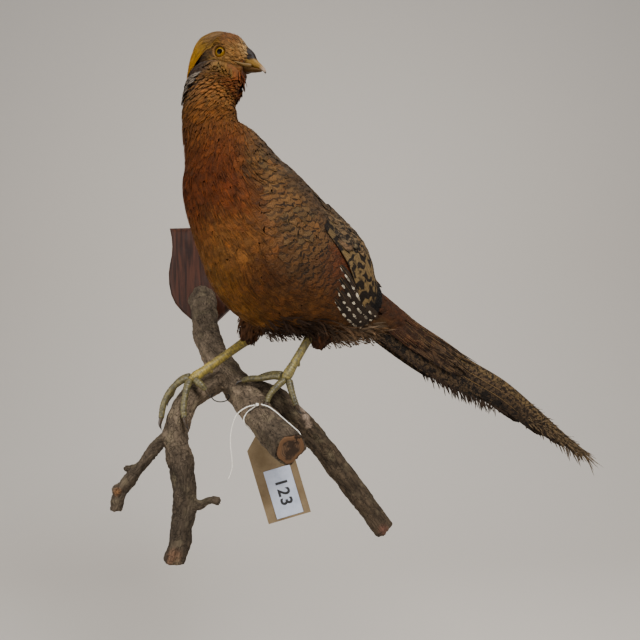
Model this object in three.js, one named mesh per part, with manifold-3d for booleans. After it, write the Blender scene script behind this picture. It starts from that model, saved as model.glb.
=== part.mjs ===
// Taxidermy pheasant: an immature male golden pheasant standing on a forked branch
// that grows out of a small wooden shield for the wall. Millimetres, +Z up, wall plane Y = 0,
// the bird on the -Y side. The origin is on the back face of the shield, on its centre line.

import * as THREE from 'three';
import { mergeVertices } from 'three/addons/utils/BufferGeometryUtils.js';
import Module from 'manifold-3d';

const wasm = await Module();
wasm.setup();

// ---------- driving dimensions ----------

const GAP = 0.3;                    // clear space between neighbouring pieces
const TURN = Math.PI * 2;

const SHIELD_TOP = 70;              // height of the flat top edge above the origin
const SHIELD_FOOT = -74;            // lowest point
const SHIELD_HALF = 48;             // half of the widest part
const SHIELD_THICK = 14;
const SHIELD_MOULD = 6;             // width of the moulded edge

const BRANCH_HEIGHT = -24;          // centre of the branch where it meets the shield
const BARK_WAVE = 0.05;             // how uneven the bark's section is, as a part of its radius

const BODY_UP = [0.434, 0.496, 0.75];      // the way the back faces at mid body

const HEAD_AT = [77, -236.2, 173.3];       // between the eyes
const HEAD_FORWARD = [0.942, -0.166, -0.292];
const EYE_RADIUS = 6;
const EYE_OUT = 9.3;                // eyeball centre from the middle of the head
const EYE_OPENING = 5.2;

const TAG_LENGTH = 82;
const TAG_WIDTH = 41;
const TAG_THICK = 0.7;
const LABEL_LENGTH = 45.7;
const LABEL_WIDTH = 25.4;
const STRING_RADIUS = 0.55;

// ---------- materials ----------

const paint = (color, roughness, metalness = 0) =>
  new THREE.MeshStandardMaterial({ color, roughness, metalness });

const russet = paint('#8a4a1e', 0.85);
const mottled = paint('#5a4226', 0.85);
const gold = paint('#c8901f', 0.6);
const barred = paint('#4a3a26', 0.8);
const legSkin = paint('#a8962c', 0.55);
const claw = paint('#33291f', 0.4);
const bill = paint('#9c8a4c', 0.4);
const glass = paint('#c8881c', 0.08);
const bark = paint('#594a3c', 0.95);
const oak = paint('#4a241c', 0.5);
const card = paint('#a07c4c', 0.9);
const label = paint('#d8dce6', 0.6);
const cotton = paint('#e4e0d8', 0.9);

// ---------- shapes ----------

const vec = (p) => new THREE.Vector3(...p);

// A smooth body through stations. Each station has a centre `at` and half sizes: `side`, then
// `top` and `under`, which are the same as `side` and `top` where not given. `up` is the way
// its top faces, and stays as it was at the station before where not given.
class Loft {
  constructor(stations, wave = 0) {
    let facing = [0, 0, 1];
    const full = stations.map(({ at, side, top = side, under = top, up = facing }) => {
      facing = up;
      return { at, side, top, under, up };
    });
    this.count = full.length - 1;
    this.wave = wave;
    this.path = new THREE.CatmullRomCurve3(full.map((s) => vec(s.at)), false, 'centripetal');
    const even = (list) => new THREE.CatmullRomCurve3(list, false, 'catmullrom', 0.5);
    this.sizes = even(full.map((s) => new THREE.Vector3(s.side, s.top, s.under)));
    this.ups = even(full.map((s) => vec(s.up)));
  }

  // centre, tangent, up and left at station number n, which may lie between stations
  frame(n) {
    const t = THREE.MathUtils.clamp(n / this.count, 0, 1);
    const tangent = this.path.getTangent(t);
    const up = this.ups.getPoint(t);
    up.addScaledVector(tangent, -up.dot(tangent)).normalize();
    const left = new THREE.Vector3().crossVectors(up, tangent).normalize();
    return { centre: this.path.getPoint(t), tangent, up, left, size: this.sizes.getPoint(t) };
  }

  // the surface point at station n; angle 0 is the top and a quarter turn is the left side
  point(n, angle, grow = 0, shrink = 1, ahead = 0) {
    const { centre, tangent, up, left, size } = this.frame(n);
    const c = Math.cos(angle);
    const s = Math.sin(angle);
    const bump = 1 + this.wave * (Math.sin(3 * angle + n * 2.1) + Math.sin(5 * angle - n * 3.3));
    const half = c > 0 ? size.y : size.z;
    return centre
      .addScaledVector(up, c * (half * bump + grow) * shrink)
      .addScaledVector(left, s * (size.x * bump + grow) * shrink)
      .addScaledVector(tangent, ahead);
  }

  // A closed solid. `around` and `along` are face counts; `round` gives how far each end
  // bulges past its last station.
  solid({ around = 16, along = 16, round = [0, 0], grow = 0 } = {}) {
    const rows = [];
    const ring = (n, shrink, ahead) => {
      const row = [];
      for (let i = 0; i < around; i += 1) {
        row.push(this.point(n, (i / around) * TURN, grow, shrink, ahead));
      }
      rows.push(row);
    };
    const capSteps = 3;
    const cap = (n, bulge, way) => {
      for (let k = 1; k < capSteps; k += 1) {
        const a = ((way < 0 ? capSteps - k : k) / capSteps) * (Math.PI / 2);
        ring(n, Math.cos(a), way * (bulge + grow) * Math.sin(a));
      }
    };
    if (round[0] > 0) cap(0, round[0], -1);
    for (let i = 0; i <= along; i += 1) ring((i / along) * this.count, 1, 0);
    if (round[1] > 0) cap(this.count, round[1], 1);
    const pole = (n, ahead) => this.point(n, 0, 0, 0, ahead);
    const start = pole(0, round[0] > 0 ? -(round[0] + grow) : -grow);
    const end = pole(this.count, round[1] > 0 ? round[1] + grow : grow);
    return closedRows(rows, start, end);
  }
}

// rings of equal length joined one to the next, with a pole at each end
function closedRows(rows, start, end) {
  const n = rows[0].length;
  const points = [start, ...rows.flat(), end];
  const faces = [];
  for (let i = 0; i < n; i += 1) {
    const j = (i + 1) % n;
    faces.push([0, 1 + j, 1 + i]);
    for (let r = 0; r + 1 < rows.length; r += 1) {
      const a = 1 + r * n;
      faces.push([a + i, a + j, a + n + j], [a + i, a + n + j, a + n + i]);
    }
    const lastRow = 1 + (rows.length - 1) * n;
    faces.push([points.length - 1, lastRow + i, lastRow + j]);
  }
  return solidOf(points, faces);
}

// A plate that follows middle(u, v), thick(u, v) thick, with u and v from 0 to 1.
function plate(middle, thick, nu, nv) {
  const step = 1e-3;
  const sides = [[], []];
  for (let i = 0; i <= nu; i += 1) {
    for (let j = 0; j <= nv; j += 1) {
      const u = i / nu;
      const v = j / nv;
      const p = middle(u, v);
      const du = middle(Math.min(u + step, 1), v).sub(middle(Math.max(u - step, 0), v));
      const dv = middle(u, Math.min(v + step, 1)).sub(middle(u, Math.max(v - step, 0)));
      const normal = du.cross(dv).normalize().multiplyScalar(thick(u, v) / 2);
      sides[0].push(p.clone().add(normal));
      sides[1].push(p.clone().sub(normal));
    }
  }
  const row = nv + 1;
  const back = (nu + 1) * row;
  const at = (i, j, s) => s * back + i * row + j;
  const faces = [];
  const quad = (a, b, c, d) => faces.push([a, b, c], [a, c, d]);
  for (let i = 0; i < nu; i += 1) {
    for (let j = 0; j < nv; j += 1) {
      quad(at(i, j, 0), at(i + 1, j, 0), at(i + 1, j + 1, 0), at(i, j + 1, 0));
      quad(at(i, j, 1), at(i, j + 1, 1), at(i + 1, j + 1, 1), at(i + 1, j, 1));
    }
    quad(at(i, 0, 0), at(i, 0, 1), at(i + 1, 0, 1), at(i + 1, 0, 0));
    quad(at(i, nv, 0), at(i + 1, nv, 0), at(i + 1, nv, 1), at(i, nv, 1));
  }
  for (let j = 0; j < nv; j += 1) {
    quad(at(0, j, 0), at(0, j + 1, 0), at(0, j + 1, 1), at(0, j, 1));
    quad(at(nu, j, 0), at(nu, j, 1), at(nu, j + 1, 1), at(nu, j + 1, 0));
  }
  return solidOf([...sides[0], ...sides[1]], faces);
}

// a Manifold from points and faces, turned the right way out
function solidOf(points, faces) {
  let volume = 0;
  for (const [a, b, c] of faces) {
    volume += points[a].dot(new THREE.Vector3().crossVectors(points[b], points[c]));
  }
  const tris = volume < 0 ? faces.map(([a, b, c]) => [a, c, b]) : faces;
  return new wasm.Manifold(new wasm.Mesh({
    numProp: 3,
    vertProperties: new Float32Array(points.flatMap((p) => [p.x, p.y, p.z])),
    triVerts: new Uint32Array(tris.flat()),
  }));
}

// a Manifold from one of three's closed geometries
function solidFrom(geometry) {
  const bare = geometry.clone();
  bare.deleteAttribute('normal');
  bare.deleteAttribute('uv');
  const { attributes, index } = mergeVertices(bare, 1e-3);
  const faces = [];
  for (let i = 0; i < index.count; i += 3) {
    const [a, b, c] = index.array.slice(i, i + 3);
    if (a !== b && b !== c && c !== a) faces.push(a, b, c);
  }
  return new wasm.Manifold(new wasm.Mesh({
    numProp: 3,
    vertProperties: new Float32Array(attributes.position.array),
    triVerts: new Uint32Array(faces),
  }));
}

// a block that fills the side of a plane that `normal` points to, `clear` past the plane
function halfSpace(at, normal, clear = GAP / 2) {
  const size = 900;
  const box = new THREE.BoxGeometry(size, size, size);
  const turn = new THREE.Quaternion().setFromUnitVectors(new THREE.Vector3(0, 0, 1), normal);
  box.translate(0, 0, size / 2 + clear).applyQuaternion(turn).translate(at.x, at.y, at.z);
  return solidFrom(box);
}

const sphere = (at, radius, across = 12, down = 8) =>
  solidFrom(new THREE.SphereGeometry(radius, across, down).translate(at.x, at.y, at.z));

const group = new THREE.Group();

function add(name, solid, material) {
  const { vertProperties, triVerts } = solid.getMesh();
  const geometry = new THREE.BufferGeometry();
  geometry.setAttribute('position', new THREE.BufferAttribute(new Float32Array(vertProperties), 3));
  geometry.setIndex(new THREE.BufferAttribute(new Uint32Array(triVerts), 1));
  const mesh = new THREE.Mesh(geometry, material);
  mesh.name = name;
  group.add(mesh);
}

// ---------- the shield ----------

// The shield's outline moved inwards by `inset`, at depth `out` in front of the wall.
function shieldRing(inset, out) {
  const outline = new THREE.Shape();
  const topHalf = 45;
  outline.moveTo(-topHalf, SHIELD_TOP);
  outline.lineTo(topHalf, SHIELD_TOP);
  outline.quadraticCurveTo(39, 45, 46, 22);
  outline.bezierCurveTo(SHIELD_HALF + 2, 8, SHIELD_HALF + 1, -18, 40, -32);
  outline.bezierCurveTo(30, -48, 12, -56, 0, SHIELD_FOOT);
  outline.bezierCurveTo(-12, -56, -30, -48, -40, -32);
  outline.bezierCurveTo(-SHIELD_HALF - 1, -18, -SHIELD_HALF - 2, 8, -46, 22);
  outline.quadraticCurveTo(-39, 45, -topHalf, SHIELD_TOP);
  const points = outline.getPoints(4).slice(0, -1);
  return points.map((p, i) => {
    const before = points[(i + points.length - 1) % points.length];
    const after = points[(i + 1) % points.length];
    const inA = new THREE.Vector2(p.y - before.y, before.x - p.x).normalize();
    const inB = new THREE.Vector2(after.y - p.y, p.x - after.x).normalize();
    const mitre = inA.clone().add(inB).normalize();
    const move = inset / Math.max(mitre.dot(inA), 0.4);
    return new THREE.Vector3(p.x + mitre.x * move, -out, p.y + mitre.y * move);
  });
}

function shieldSolid() {
  const flat = SHIELD_THICK - 5;
  const rings = [shieldRing(0, 0), shieldRing(0, flat)];
  const steps = 3;
  for (let k = 1; k <= steps; k += 1) {
    const a = (k / steps) * (Math.PI / 2);
    rings.push(shieldRing(SHIELD_MOULD * (1 - Math.cos(a)), flat + 5 * Math.sin(a)));
  }
  return closedRows(rings, vec([2, 0, 20]), vec([2, -SHIELD_THICK, 20]));
}

const shield = shieldSolid();
add('shield', shield, oak);

// ---------- the branch ----------

const mainBranch = new Loft([
  { at: [-8, 6, -18], side: 16.8 },
  { at: [-1.5, -14, BRANCH_HEIGHT - 5], side: 16.6 },
  { at: [7.3, -48, -52.4], side: 15.6 },
  { at: [21.3, -85, -80.3], side: 15 },
  { at: [45.1, -130, -106.6], side: 15.4 },
  { at: [68.1, -165, -126.6], side: 15 },
  { at: [86.3, -195, -140.4], side: 14 },
  { at: [107, -230, -153.6], side: 13.8 },
  { at: [127.2, -265, -164.7], side: 14.4 },
], BARK_WAVE);

const leftBranch = new Loft([
  { at: [56, -146, -117], side: 9 },
  { at: [46, -164, -121], side: 11.2 },
  { at: [27.8, -200, -131.2], side: 11 },
  { at: [18.1, -215, -157.4], side: 11 },
  { at: [24.6, -221, -190.1], side: 10.8 },
  { at: [27.6, -227, -227.8], side: 10.2 },
  { at: [19.6, -236, -269.5], side: 9 },
], BARK_WAVE);

const rightBranch = new Loft([
  { at: [66, -160, -123], side: 10 },
  { at: [82.6, -166, -129.9], side: 12 },
  { at: [100.2, -178, -134.7], side: 12.6 },
  { at: [116.7, -187, -144.4], side: 12.2 },
  { at: [143.8, -198, -170], side: 10.8 },
  { at: [175, -208, -207.4], side: 10.2 },
  { at: [208.6, -220, -254], side: 9.2 },
], BARK_WAVE);

const leftTwig = new Loft([
  { at: [17, -212, -156], side: 4.5 },
  { at: [3.9, -218, -168.3], side: 5.2 },
  { at: [-13.2, -228, -188.8], side: 5 },
  { at: [-28.5, -234, -210.6], side: 5.2 },
  { at: [-30.6, -236, -222.3], side: 4.6 },
], BARK_WAVE);

const twigSpur = new Loft([
  { at: [-14, -228, -187.5], side: 3 },
  { at: [-25.5, -226, -188.7], side: 2.6 },
]);

const twigStub = new Loft([
  { at: [-22, -232.5, -204], side: 4 },
  { at: [-32.8, -233.5, -205.6], side: 4.4 },
]);

const smallTwig = new Loft([
  { at: [29, -226, -222], side: 4.5 },
  { at: [41.8, -228, -222.3], side: 4.2 },
  { at: [50.5, -230, -218.2], side: 3.4 },
  { at: [60.4, -232, -218.1], side: 3.6 },
]);

const branchFaces = { around: 10, along: 12, round: [0, 2] };
const mainFaces = { around: 12, along: 14, round: [0, 1.5] };
const mainSolid = mainBranch.solid(mainFaces)
  .intersect(halfSpace(vec([0, -SHIELD_THICK, 0]), vec([0, -1, 0]), GAP));
const mainSpace = mainBranch.solid({ ...mainFaces, grow: GAP });
const leftWhole = leftBranch.solid(branchFaces);
const leftSpace = leftBranch.solid({ ...branchFaces, grow: GAP });
const twigWhole = leftTwig.solid({ around: 6, along: 4, round: [0, 1] })
  .add(twigSpur.solid({ around: 5, along: 1, round: [0, 1.5] }))
  .add(twigStub.solid({ around: 5, along: 1, round: [0, 1] }));

const branchParts = {
  branch_main: mainSolid,
  branch_left: leftWhole.subtract(mainSpace),
  branch_right: rightBranch.solid(branchFaces).subtract(mainSpace).subtract(leftSpace),
  twig_left: twigWhole.subtract(leftSpace),
  twig_small: smallTwig.solid({ around: 6, along: 4, round: [0, 1.2] }).subtract(leftSpace),
};
for (const [name, solid] of Object.entries(branchParts)) add(name, solid, bark);

// ---------- the bird's body ----------

// From the root of the tail to the crown. The back faces the wall at the shoulders and turns
// round the neck, because the head looks back over the left shoulder.
const spine = new Loft([
  { at: [224.8, -147, -60.6], side: 19.5, top: 19.5, up: BODY_UP },
  { at: [202.9, -155, -51.6], side: 27, top: 27.5 },
  { at: [181.6, -165, -41.9], side: 40, top: 39, under: 42 },
  { at: [155, -177, -20], side: 52, top: 58.5, under: 61.5 },
  { at: [118.6, -193, 4.1], side: 58, top: 68.5, under: 74 },
  { at: [99.7, -206, 33], side: 55, top: 62.5, under: 67.5 },
  { at: [83.2, -220, 62.2], side: 47, top: 52, under: 54, up: [0.6, 0.5, 0.6] },
  { at: [73.6, -232, 87.3], side: 37.9, under: 41, up: [0.77, 0.64, 0.2] },
  { at: [63.9, -240, 110.4], side: 25.5, up: [0.26, 0.97, 0] },
  { at: [63.1, -242, 127.1], side: 22.5, top: 23, up: [-0.5, 0.87, 0] },
  { at: [64.2, -241, 139], side: 20.5, top: 23, up: [-0.85, 0.5, 0] },
  { at: [67.8, -238, 150.2], side: 18.5, top: 25.2, up: [-0.985, 0.17, 0] },
  { at: [69.9, -237, 159.2], side: 17, top: 25 },
  { at: [70.5, -236, 167.6], side: 14, top: 21.5 },
]);
const NECK_BASE = 6.9;              // station where the neck leaves the trunk
const NECK_TOP = 10.1;              // station where the head begins

const forward = vec(HEAD_FORWARD).normalize();
const headUp = vec([0, 0, 1]).addScaledVector(forward, -forward.z).normalize();
const headLeft = new THREE.Vector3().crossVectors(headUp, forward);

// a point in the head's own frame: ahead of the eyes, above them, and to the bird's left
function inHead(ahead, above, left = 0) {
  const p = vec(HEAD_AT).addScaledVector(forward, ahead);
  p.addScaledVector(headUp, above).addScaledVector(headLeft, left);
  return p.toArray();
}

// stations of the head and bill: [ahead, above, half width, half height over, and under]
const headStations = (rows) => rows.map(([ahead, above, side, top, under = top]) =>
  ({ at: inHead(ahead, above), side, top, under, up: headUp.toArray() }));

const skull = new Loft(headStations([
  [-27, -2, 4, 4],
  [-24.6, -2, 9.5, 10.5, 12],
  [-20, -1.5, 13.5, 15.6, 17],
  [-13, 0, 16, 18.6, 20],
  [-4, 1, 16.6, 20.6, 22],
  [4, 1.5, 16, 20.8, 24],
  [10.5, 2.5, 13.6, 19.2, 25],
  [16, 3.2, 10.6, 14, 25],
  [20.5, 3.6, 7.4, 9, 21],
  [23, 3, 4.6, 4.6, 13],
]));

const upperBill = new Loft(headStations([
  [13, 5.5, 7, 9.5, 9.9],
  [18, 5, 6, 8.8, 8.7],
  [21, 4.4, 5.3, 7.4, 7.5],
  [25, 2.6, 4.5, 5.3, 5.3],
  [29, 1.1, 3.7, 3.4, 3.4],
  [33, -0.1, 2.8, 2.3, 2.3],
  [36.5, -1.7, 1.9, 1.7, 1.6],
  [39, -4, 0.8, 0.8],
]));

const lowerBill = new Loft(headStations([
  [12, -5.2, 6.2, 1.4, 2.6],
  [18, -4.6, 5.2, 1.2, 2.6],
  [24, -3.6, 4, 1, 2.6],
  [29, -3.2, 3.1, 1, 2.1],
  [33, -3.1, 2.1, 0.8, 1.2],
  [35, -3.2, 1.1, 0.5, 0.6],
]));

const bodyFaces = { around: 16, along: 26, round: [6, 6] };
const bodyWhole = spine.solid(bodyFaces);
const bodySpace = spine.solid({ ...bodyFaces, grow: GAP });

const planeAt = (n, way, clear = GAP / 2) => {
  const { centre, tangent } = spine.frame(n);
  return halfSpace(centre, tangent.multiplyScalar(way), clear);
};

const billFaces = { around: 8, along: 7, round: [0, 0.8] };
const upperSpace = upperBill.solid({ ...billFaces, grow: GAP });
const lowerSpace = lowerBill.solid({ ...billFaces, grow: GAP });

function eyeParts(side) {
  const centre = vec(inHead(0, 0, side * EYE_OUT));
  const socket = new THREE.CylinderGeometry(EYE_OPENING + 1, EYE_OPENING - 0.6, 12, 12);
  const out = headLeft.clone().multiplyScalar(side);
  const turn = new THREE.Quaternion().setFromUnitVectors(new THREE.Vector3(0, 1, 0), out);
  const mouth = vec(inHead(0, 0, side * (EYE_OUT + 8.2)));
  socket.applyQuaternion(turn).translate(mouth.x, mouth.y, mouth.z);
  const hollow = sphere(centre, EYE_RADIUS + GAP).add(solidFrom(socket));
  return { ball: sphere(centre, EYE_RADIUS), hollow };
}

const eyeLeft = eyeParts(1);
const eyeRight = eyeParts(-1);
const skullFaces = { around: 14, along: 11, round: [1.5, 0] };
const headWhole = skull.solid(skullFaces)
  .add(bodyWhole.intersect(planeAt(NECK_TOP, 1, -0.2)));
const head = headWhole
  .intersect(planeAt(NECK_TOP, 1))
  .subtract(upperSpace)
  .subtract(lowerSpace)
  .subtract(eyeLeft.hollow)
  .subtract(eyeRight.hollow);

add('head', head, mottled);
add('neck', bodyWhole.intersect(planeAt(NECK_BASE, 1)).intersect(planeAt(NECK_TOP, -1)), russet);
add('trunk', bodyWhole.intersect(planeAt(NECK_BASE, -1)), russet);
add('eye_left', eyeLeft.ball, glass);
add('eye_right', eyeRight.ball, glass);
add('bill_upper', upperBill.solid(billFaces), bill);
add('bill_lower', lowerBill.solid(billFaces).subtract(upperSpace), bill);

// ---------- legs and feet ----------

const LEGS = {
  right: {
    thigh: [
      { at: [110, -191, -30], side: 25 },
      { at: [96.3, -186, -50.3], side: 18.8 },
      { at: [86, -182.5, -64], side: 12.9 },
      { at: [81.8, -181.5, -73.5], side: 8.5 },
    ],
    heel: [81.2, -182, -76.8],
    palm: [33.9, -207, -110.4],
    toes: {
      middle: [[28, -208, -111], [23.5, -210, -112], [14, -213, -120], [8, -217, -132.6],
        [6.4, -220.5, -145]],
      inner: [[30.5, -211, -113], [29.6, -216.5, -118], [28.6, -221, -127], [28.2, -224.5, -136.7],
        [29.2, -226, -143.8]],
      outer: [[28, -202, -109.8], [20.4, -196, -112], [11.5, -191, -118.4], [6.4, -190, -129]],
      hind: [[36.5, -210, -112.6], [41.4, -212.5, -116], [45.8, -211, -121]],
    },
    claws: {
      middle: [[6.4, -220.5, -145], [5.8, -222.5, -150.5], [7.5, -223, -156]],
      inner: [[29.2, -226, -143.8], [31, -226.5, -150.4], [32.6, -225, -156]],
      outer: [[6.4, -190, -129], [3.8, -192.5, -134.6], [5, -196, -139]],
      hind: [[45.8, -211, -121], [48.4, -210, -125.5], [49.5, -208, -130]],
    },
  },
  left: {
    thigh: [
      { at: [172.5, -181, -34], side: 27 },
      { at: [162.5, -183, -54.5], side: 26 },
      { at: [155.5, -185.5, -71], side: 16.5 },
      { at: [152.4, -186, -82], side: 7 },
    ],
    heel: [154.4, -186, -58],
    palm: [121.1, -203, -111.8],
    toes: {
      middle: [[114.5, -202, -111.8], [108.9, -200, -111.4], [96.8, -196, -113.5], [84.2, -190, -114.4],
        [77, -186, -116.6]],
      outer: [[118.4, -206, -115], [112.4, -210.5, -120], [106.5, -214, -126.3], [103, -216, -133.6]],
      inner: [[115.5, -198, -110.5], [107.5, -191.5, -110.5], [99.5, -185, -112], [93, -180, -114.6]],
      hind: [[123.6, -204.5, -116.5], [125.4, -209, -123], [127.6, -211.5, -130.2],
        [130, -212.5, -137.4]],
    },
    claws: {
      middle: [[77, -186, -116.6], [72.6, -185.5, -117.8], [69, -187, -121]],
      outer: [[103, -216, -133.6], [102.2, -218, -138.2], [103, -218.6, -143.6]],
      inner: [[93, -180, -114.6], [89.2, -178, -114.6], [86, -176.6, -116.2]],
      hind: [[130, -212.5, -137.4], [132.4, -213, -142.6], [135.4, -212, -147]],
    },
  },
};
const SHANK_BREADTH = 3.7;          // half sizes of the scaly shank
const SHANK_DEPTH = 4.4;
const TOE_RADIUS = 3.1;
const thighFaces = { around: 12, along: 5, round: [3, 3] };
const CLAW_RADIUS = 1.7;

const branchSpace = rightBranch.solid({ ...branchFaces, grow: GAP }).add(mainSpace).add(leftSpace);

function addLeg(side, { thigh, heel, palm, toes, claws }) {
  const down = vec(palm).sub(vec(heel)).normalize();
  const between = (t) => vec(heel).lerp(vec(palm), t).toArray();
  const back = new THREE.Vector3().crossVectors(down, vec([0.5, -0.86, 0])).normalize();
  const shank = new Loft([
    { at: between(-0.04), side: SHANK_BREADTH + 1.2, top: SHANK_DEPTH + 1.2, up: back.toArray() },
    { at: between(0.12), side: SHANK_BREADTH + 0.2, top: SHANK_DEPTH + 0.2 },
    { at: between(0.45), side: SHANK_BREADTH - 0.3, top: SHANK_DEPTH - 0.2 },
    { at: between(0.8), side: SHANK_BREADTH, top: SHANK_DEPTH },
    { at: between(0.95), side: SHANK_BREADTH + 1.3, top: SHANK_DEPTH + 0.8 },
    { at: between(1.02), side: SHANK_BREADTH + 0.6, top: SHANK_DEPTH },
  ]);
  const spurRoot = vec(between(0.72));
  const spurSide = vec(between(0.74)).add(new THREE.Vector3(3.4, 0.4, -5.2));
  const spur = new Loft([
    { at: spurRoot.toArray(), side: 2.6 },
    { at: spurRoot.lerp(spurSide, 0.7).toArray(), side: 2.1 },
    { at: spurSide.toArray(), side: 1 },
  ]);
  const shankFaces = { around: 8, along: 6, round: [1.5, 3.5] };
  const shankWhole = shank.solid(shankFaces)
    .add(spur.solid({ around: 5, along: 2, round: [0, 0] }));
  const shankSpace = shank.solid({ ...shankFaces, grow: GAP });
  const feather = new Loft(thigh);
  add(`thigh_${side}`, feather.solid(thighFaces)
    .subtract(bodySpace).subtract(shankSpace), russet);
  add(`shank_${side}`, shankWhole.subtract(branchSpace).subtract(bodySpace), legSkin);
  let taken = shankSpace;
  for (const [name, points] of Object.entries(toes)) {
    const stations = points.map((at, i) => {
      const t = i / (points.length - 1);
      return { at, side: TOE_RADIUS * (1.12 - 0.3 * t) };
    });
    const toe = new Loft(stations);
    const faces = { around: 6, along: 5, round: [0.8, 0] };
    add(`toe_${side}_${name}`, toe.solid(faces).subtract(taken).subtract(branchSpace), legSkin);
    const toeSpace = toe.solid({ ...faces, grow: GAP });
    taken = taken.add(toeSpace);
    const [root, mid, tip] = claws[name];
    const nail = new Loft([
      { at: root, side: CLAW_RADIUS + 0.4 },
      { at: mid, side: CLAW_RADIUS },
      { at: tip, side: 0.7 },
    ]);
    add(`claw_${side}_${name}`, nail.solid({ around: 5, along: 2, round: [0, 0] })
      .subtract(toeSpace).subtract(branchSpace), claw);
  }
}

addLeg('right', LEGS.right);
addLeg('left', LEGS.left);

// ---------- wings ----------

// A wing lies folded along the side of the back. Its covering feathers are a shell over the
// trunk, between an upper and a lower edge given as angles from the middle of the back.
const WING_FRONT = 5.35;            // stations of the trunk
const WING_BACK = 0.4;
const WING_EDGE = 1.2;              // thickness at the edges, and what the middle has more
const WING_THICK = 2;
const WING_CLEAR = 1.9;             // the flat faces of shell and trunk need this to stay apart
const WING_LOW = new THREE.CatmullRomCurve3([
  [0, 44, 0], [1, 62, 0], [2, 76, 0], [3, 92, 0], [4, 102, 0], [5, 116, 0],
].map(vec));
const WING_HIGH = new THREE.CatmullRomCurve3([
  [0, 30, 0], [1, 8, 0], [2, 4, 0], [3, 6, 0], [4, 22, 0], [5, 74, 0],
].map(vec));
const degrees = THREE.MathUtils.degToRad;

function wingPoint(side, u, v, lift) {
  const n = THREE.MathUtils.lerp(WING_FRONT, WING_BACK, u);
  const high = WING_HIGH.getPoint(u).y;
  const low = WING_LOW.getPoint(u).y;
  return spine.point(n, side * degrees(THREE.MathUtils.lerp(high, low, v)), lift);
}

function wingShell(side) {
  const thick = (u, v) => WING_EDGE + WING_THICK * Math.sqrt(Math.sin(Math.PI * v) * Math.sin(Math.PI * u));
  return plate((u, v) => wingPoint(side, u, v, thick(u, v) / 2 + WING_CLEAR), thick, 11, 4);
}

// The long wing quills show below the covering feathers, fanned towards the root of the tail.
function quills(side) {
  const angle = (u, v) => degrees(84 + 46 * u + (24 - 8 * u) * v);
  const n = (u) => 3.35 - 2.6 * u;
  const middle = (u, v) => spine.point(n(u), side * angle(u, v), 2.2 + 3 * u);
  return plate(middle, () => 2.4, 6, 2);
}

const thighs = [LEGS.left, LEGS.right].map(({ thigh }) =>
  new Loft(thigh).solid({ ...thighFaces, grow: GAP }));
for (const [name, side] of [['left', 1], ['right', -1]]) {
  const shell = wingShell(side);
  const shellSpace = plate(
    (u, v) => wingPoint(side, u, v, 4),
    () => 12,
    11, 4,
  );
  add(`wing_${name}`, shell, barred);
  add(`quills_${name}`, quills(side).subtract(bodySpace).subtract(shellSpace)
    .subtract(thighs[0]).subtract(thighs[1]), barred);
}

// ---------- crest ----------

// Silky feathers from the crown over the back of the head and down the nape.
const CREST = new THREE.CatmullRomCurve3([
  inHead(3, 21.8), inHead(-8.5, 21.4), inHead(-17, 17.8), inHead(-26, 9.4), inHead(-29.2, -3),
  inHead(-29.2, -17), inHead(-27.5, -31),
].map(vec));

function crestSolid() {
  const halfWidth = (u) => 6 + 9.5 * Math.sin(Math.PI * Math.min(1, u * 0.95 + 0.08));
  const middle = (u, v) => {
    const p = CREST.getPoint(u);
    const along = CREST.getTangent(u);
    const outward = new THREE.Vector3().crossVectors(headLeft, along).normalize();
    const w = (v - 0.5) * 2;
    return p.addScaledVector(headLeft, w * halfWidth(u))
      .addScaledVector(outward, 1.2 - 6.5 * w * w * (halfWidth(u) / 15));
  };
  return plate(middle, () => 3, 8, 4);
}
const headSpace = skull.solid({ ...skullFaces, grow: GAP }).add(bodySpace);
add('crest', crestSolid().subtract(headSpace), gold);

// ---------- tail ----------

// The folded tail is a long arch, open below. The two middle feathers reach the tip.
const TAIL = new THREE.CatmullRomCurve3([
  [203, -158, -44], [215.9, -152, -53], [234, -146, -67.3], [268, -136, -91.7],
  [309.3, -125, -119.6], [352.8, -113, -146.4], [392.8, -101, -180], [431.6, -91, -215],
  [457.4, -86, -236],
].map(vec));
const TAIL_UP = vec([0.53, 0.1, 0.84]);
const TAIL_HALF = 13;               // half breadth of the arch
const TAIL_DEEP = 31;               // height of the arch

function tailPoint(side, along, around, inset = 0, spread = 1) {
  const p = TAIL.getPointAt(along);
  const tangent = TAIL.getTangentAt(along);
  const up = TAIL_UP.clone().addScaledVector(tangent, -TAIL_UP.dot(tangent)).normalize();
  const left = new THREE.Vector3().crossVectors(tangent, up).normalize();
  const a = around * (Math.PI / 2);
  return p.addScaledVector(left, side * ((TAIL_HALF - inset) * spread * Math.sin(a) + GAP + 0.9))
    .addScaledVector(up, TAIL_DEEP * (0.5 - spread * (1 - Math.cos(a))) - inset);
}

function tailBlade(side, { from, to, low, high, inset, thick }) {
  const narrow = (u) => Math.pow(Math.max(0, 1 - u ** 5), 0.6);
  const middle = (u, v) => {
    const reach = THREE.MathUtils.lerp(from, to, u);
    const w = low + (high - low) * (0.12 + 0.88 * v) * Math.max(0.14, narrow(u));
    return tailPoint(side, reach, v < 1e-6 ? low : w, inset);
  };
  return plate(middle, () => thick, 10, 3);
}

const TAIL_PARTS = {
  coverts: { from: 0.01, to: 0.3, low: 0.02, high: 0.86, inset: -2.7, thick: 1.8 },
  middle: { from: 0.02, to: 1, low: 0.01, high: 0.86, inset: 0, thick: 1.6 },
  side: { from: 0.02, to: 0.66, low: 0.42, high: 1.12, inset: 2.4, thick: 1.6 },
};
for (const [name, side] of [['left', 1], ['right', -1]]) {
  for (const [part, sizes] of Object.entries(TAIL_PARTS)) {
    add(`tail_${part}_${name}`, tailBlade(side, sizes).subtract(bodySpace), mottled);
  }
}

// ---------- tag ----------

const TAG_AT = [110.8, -212.5, -203];        // middle of the card
const TAG_TURN = 0.262;                    // how far the card hangs from upright, in radians

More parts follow.
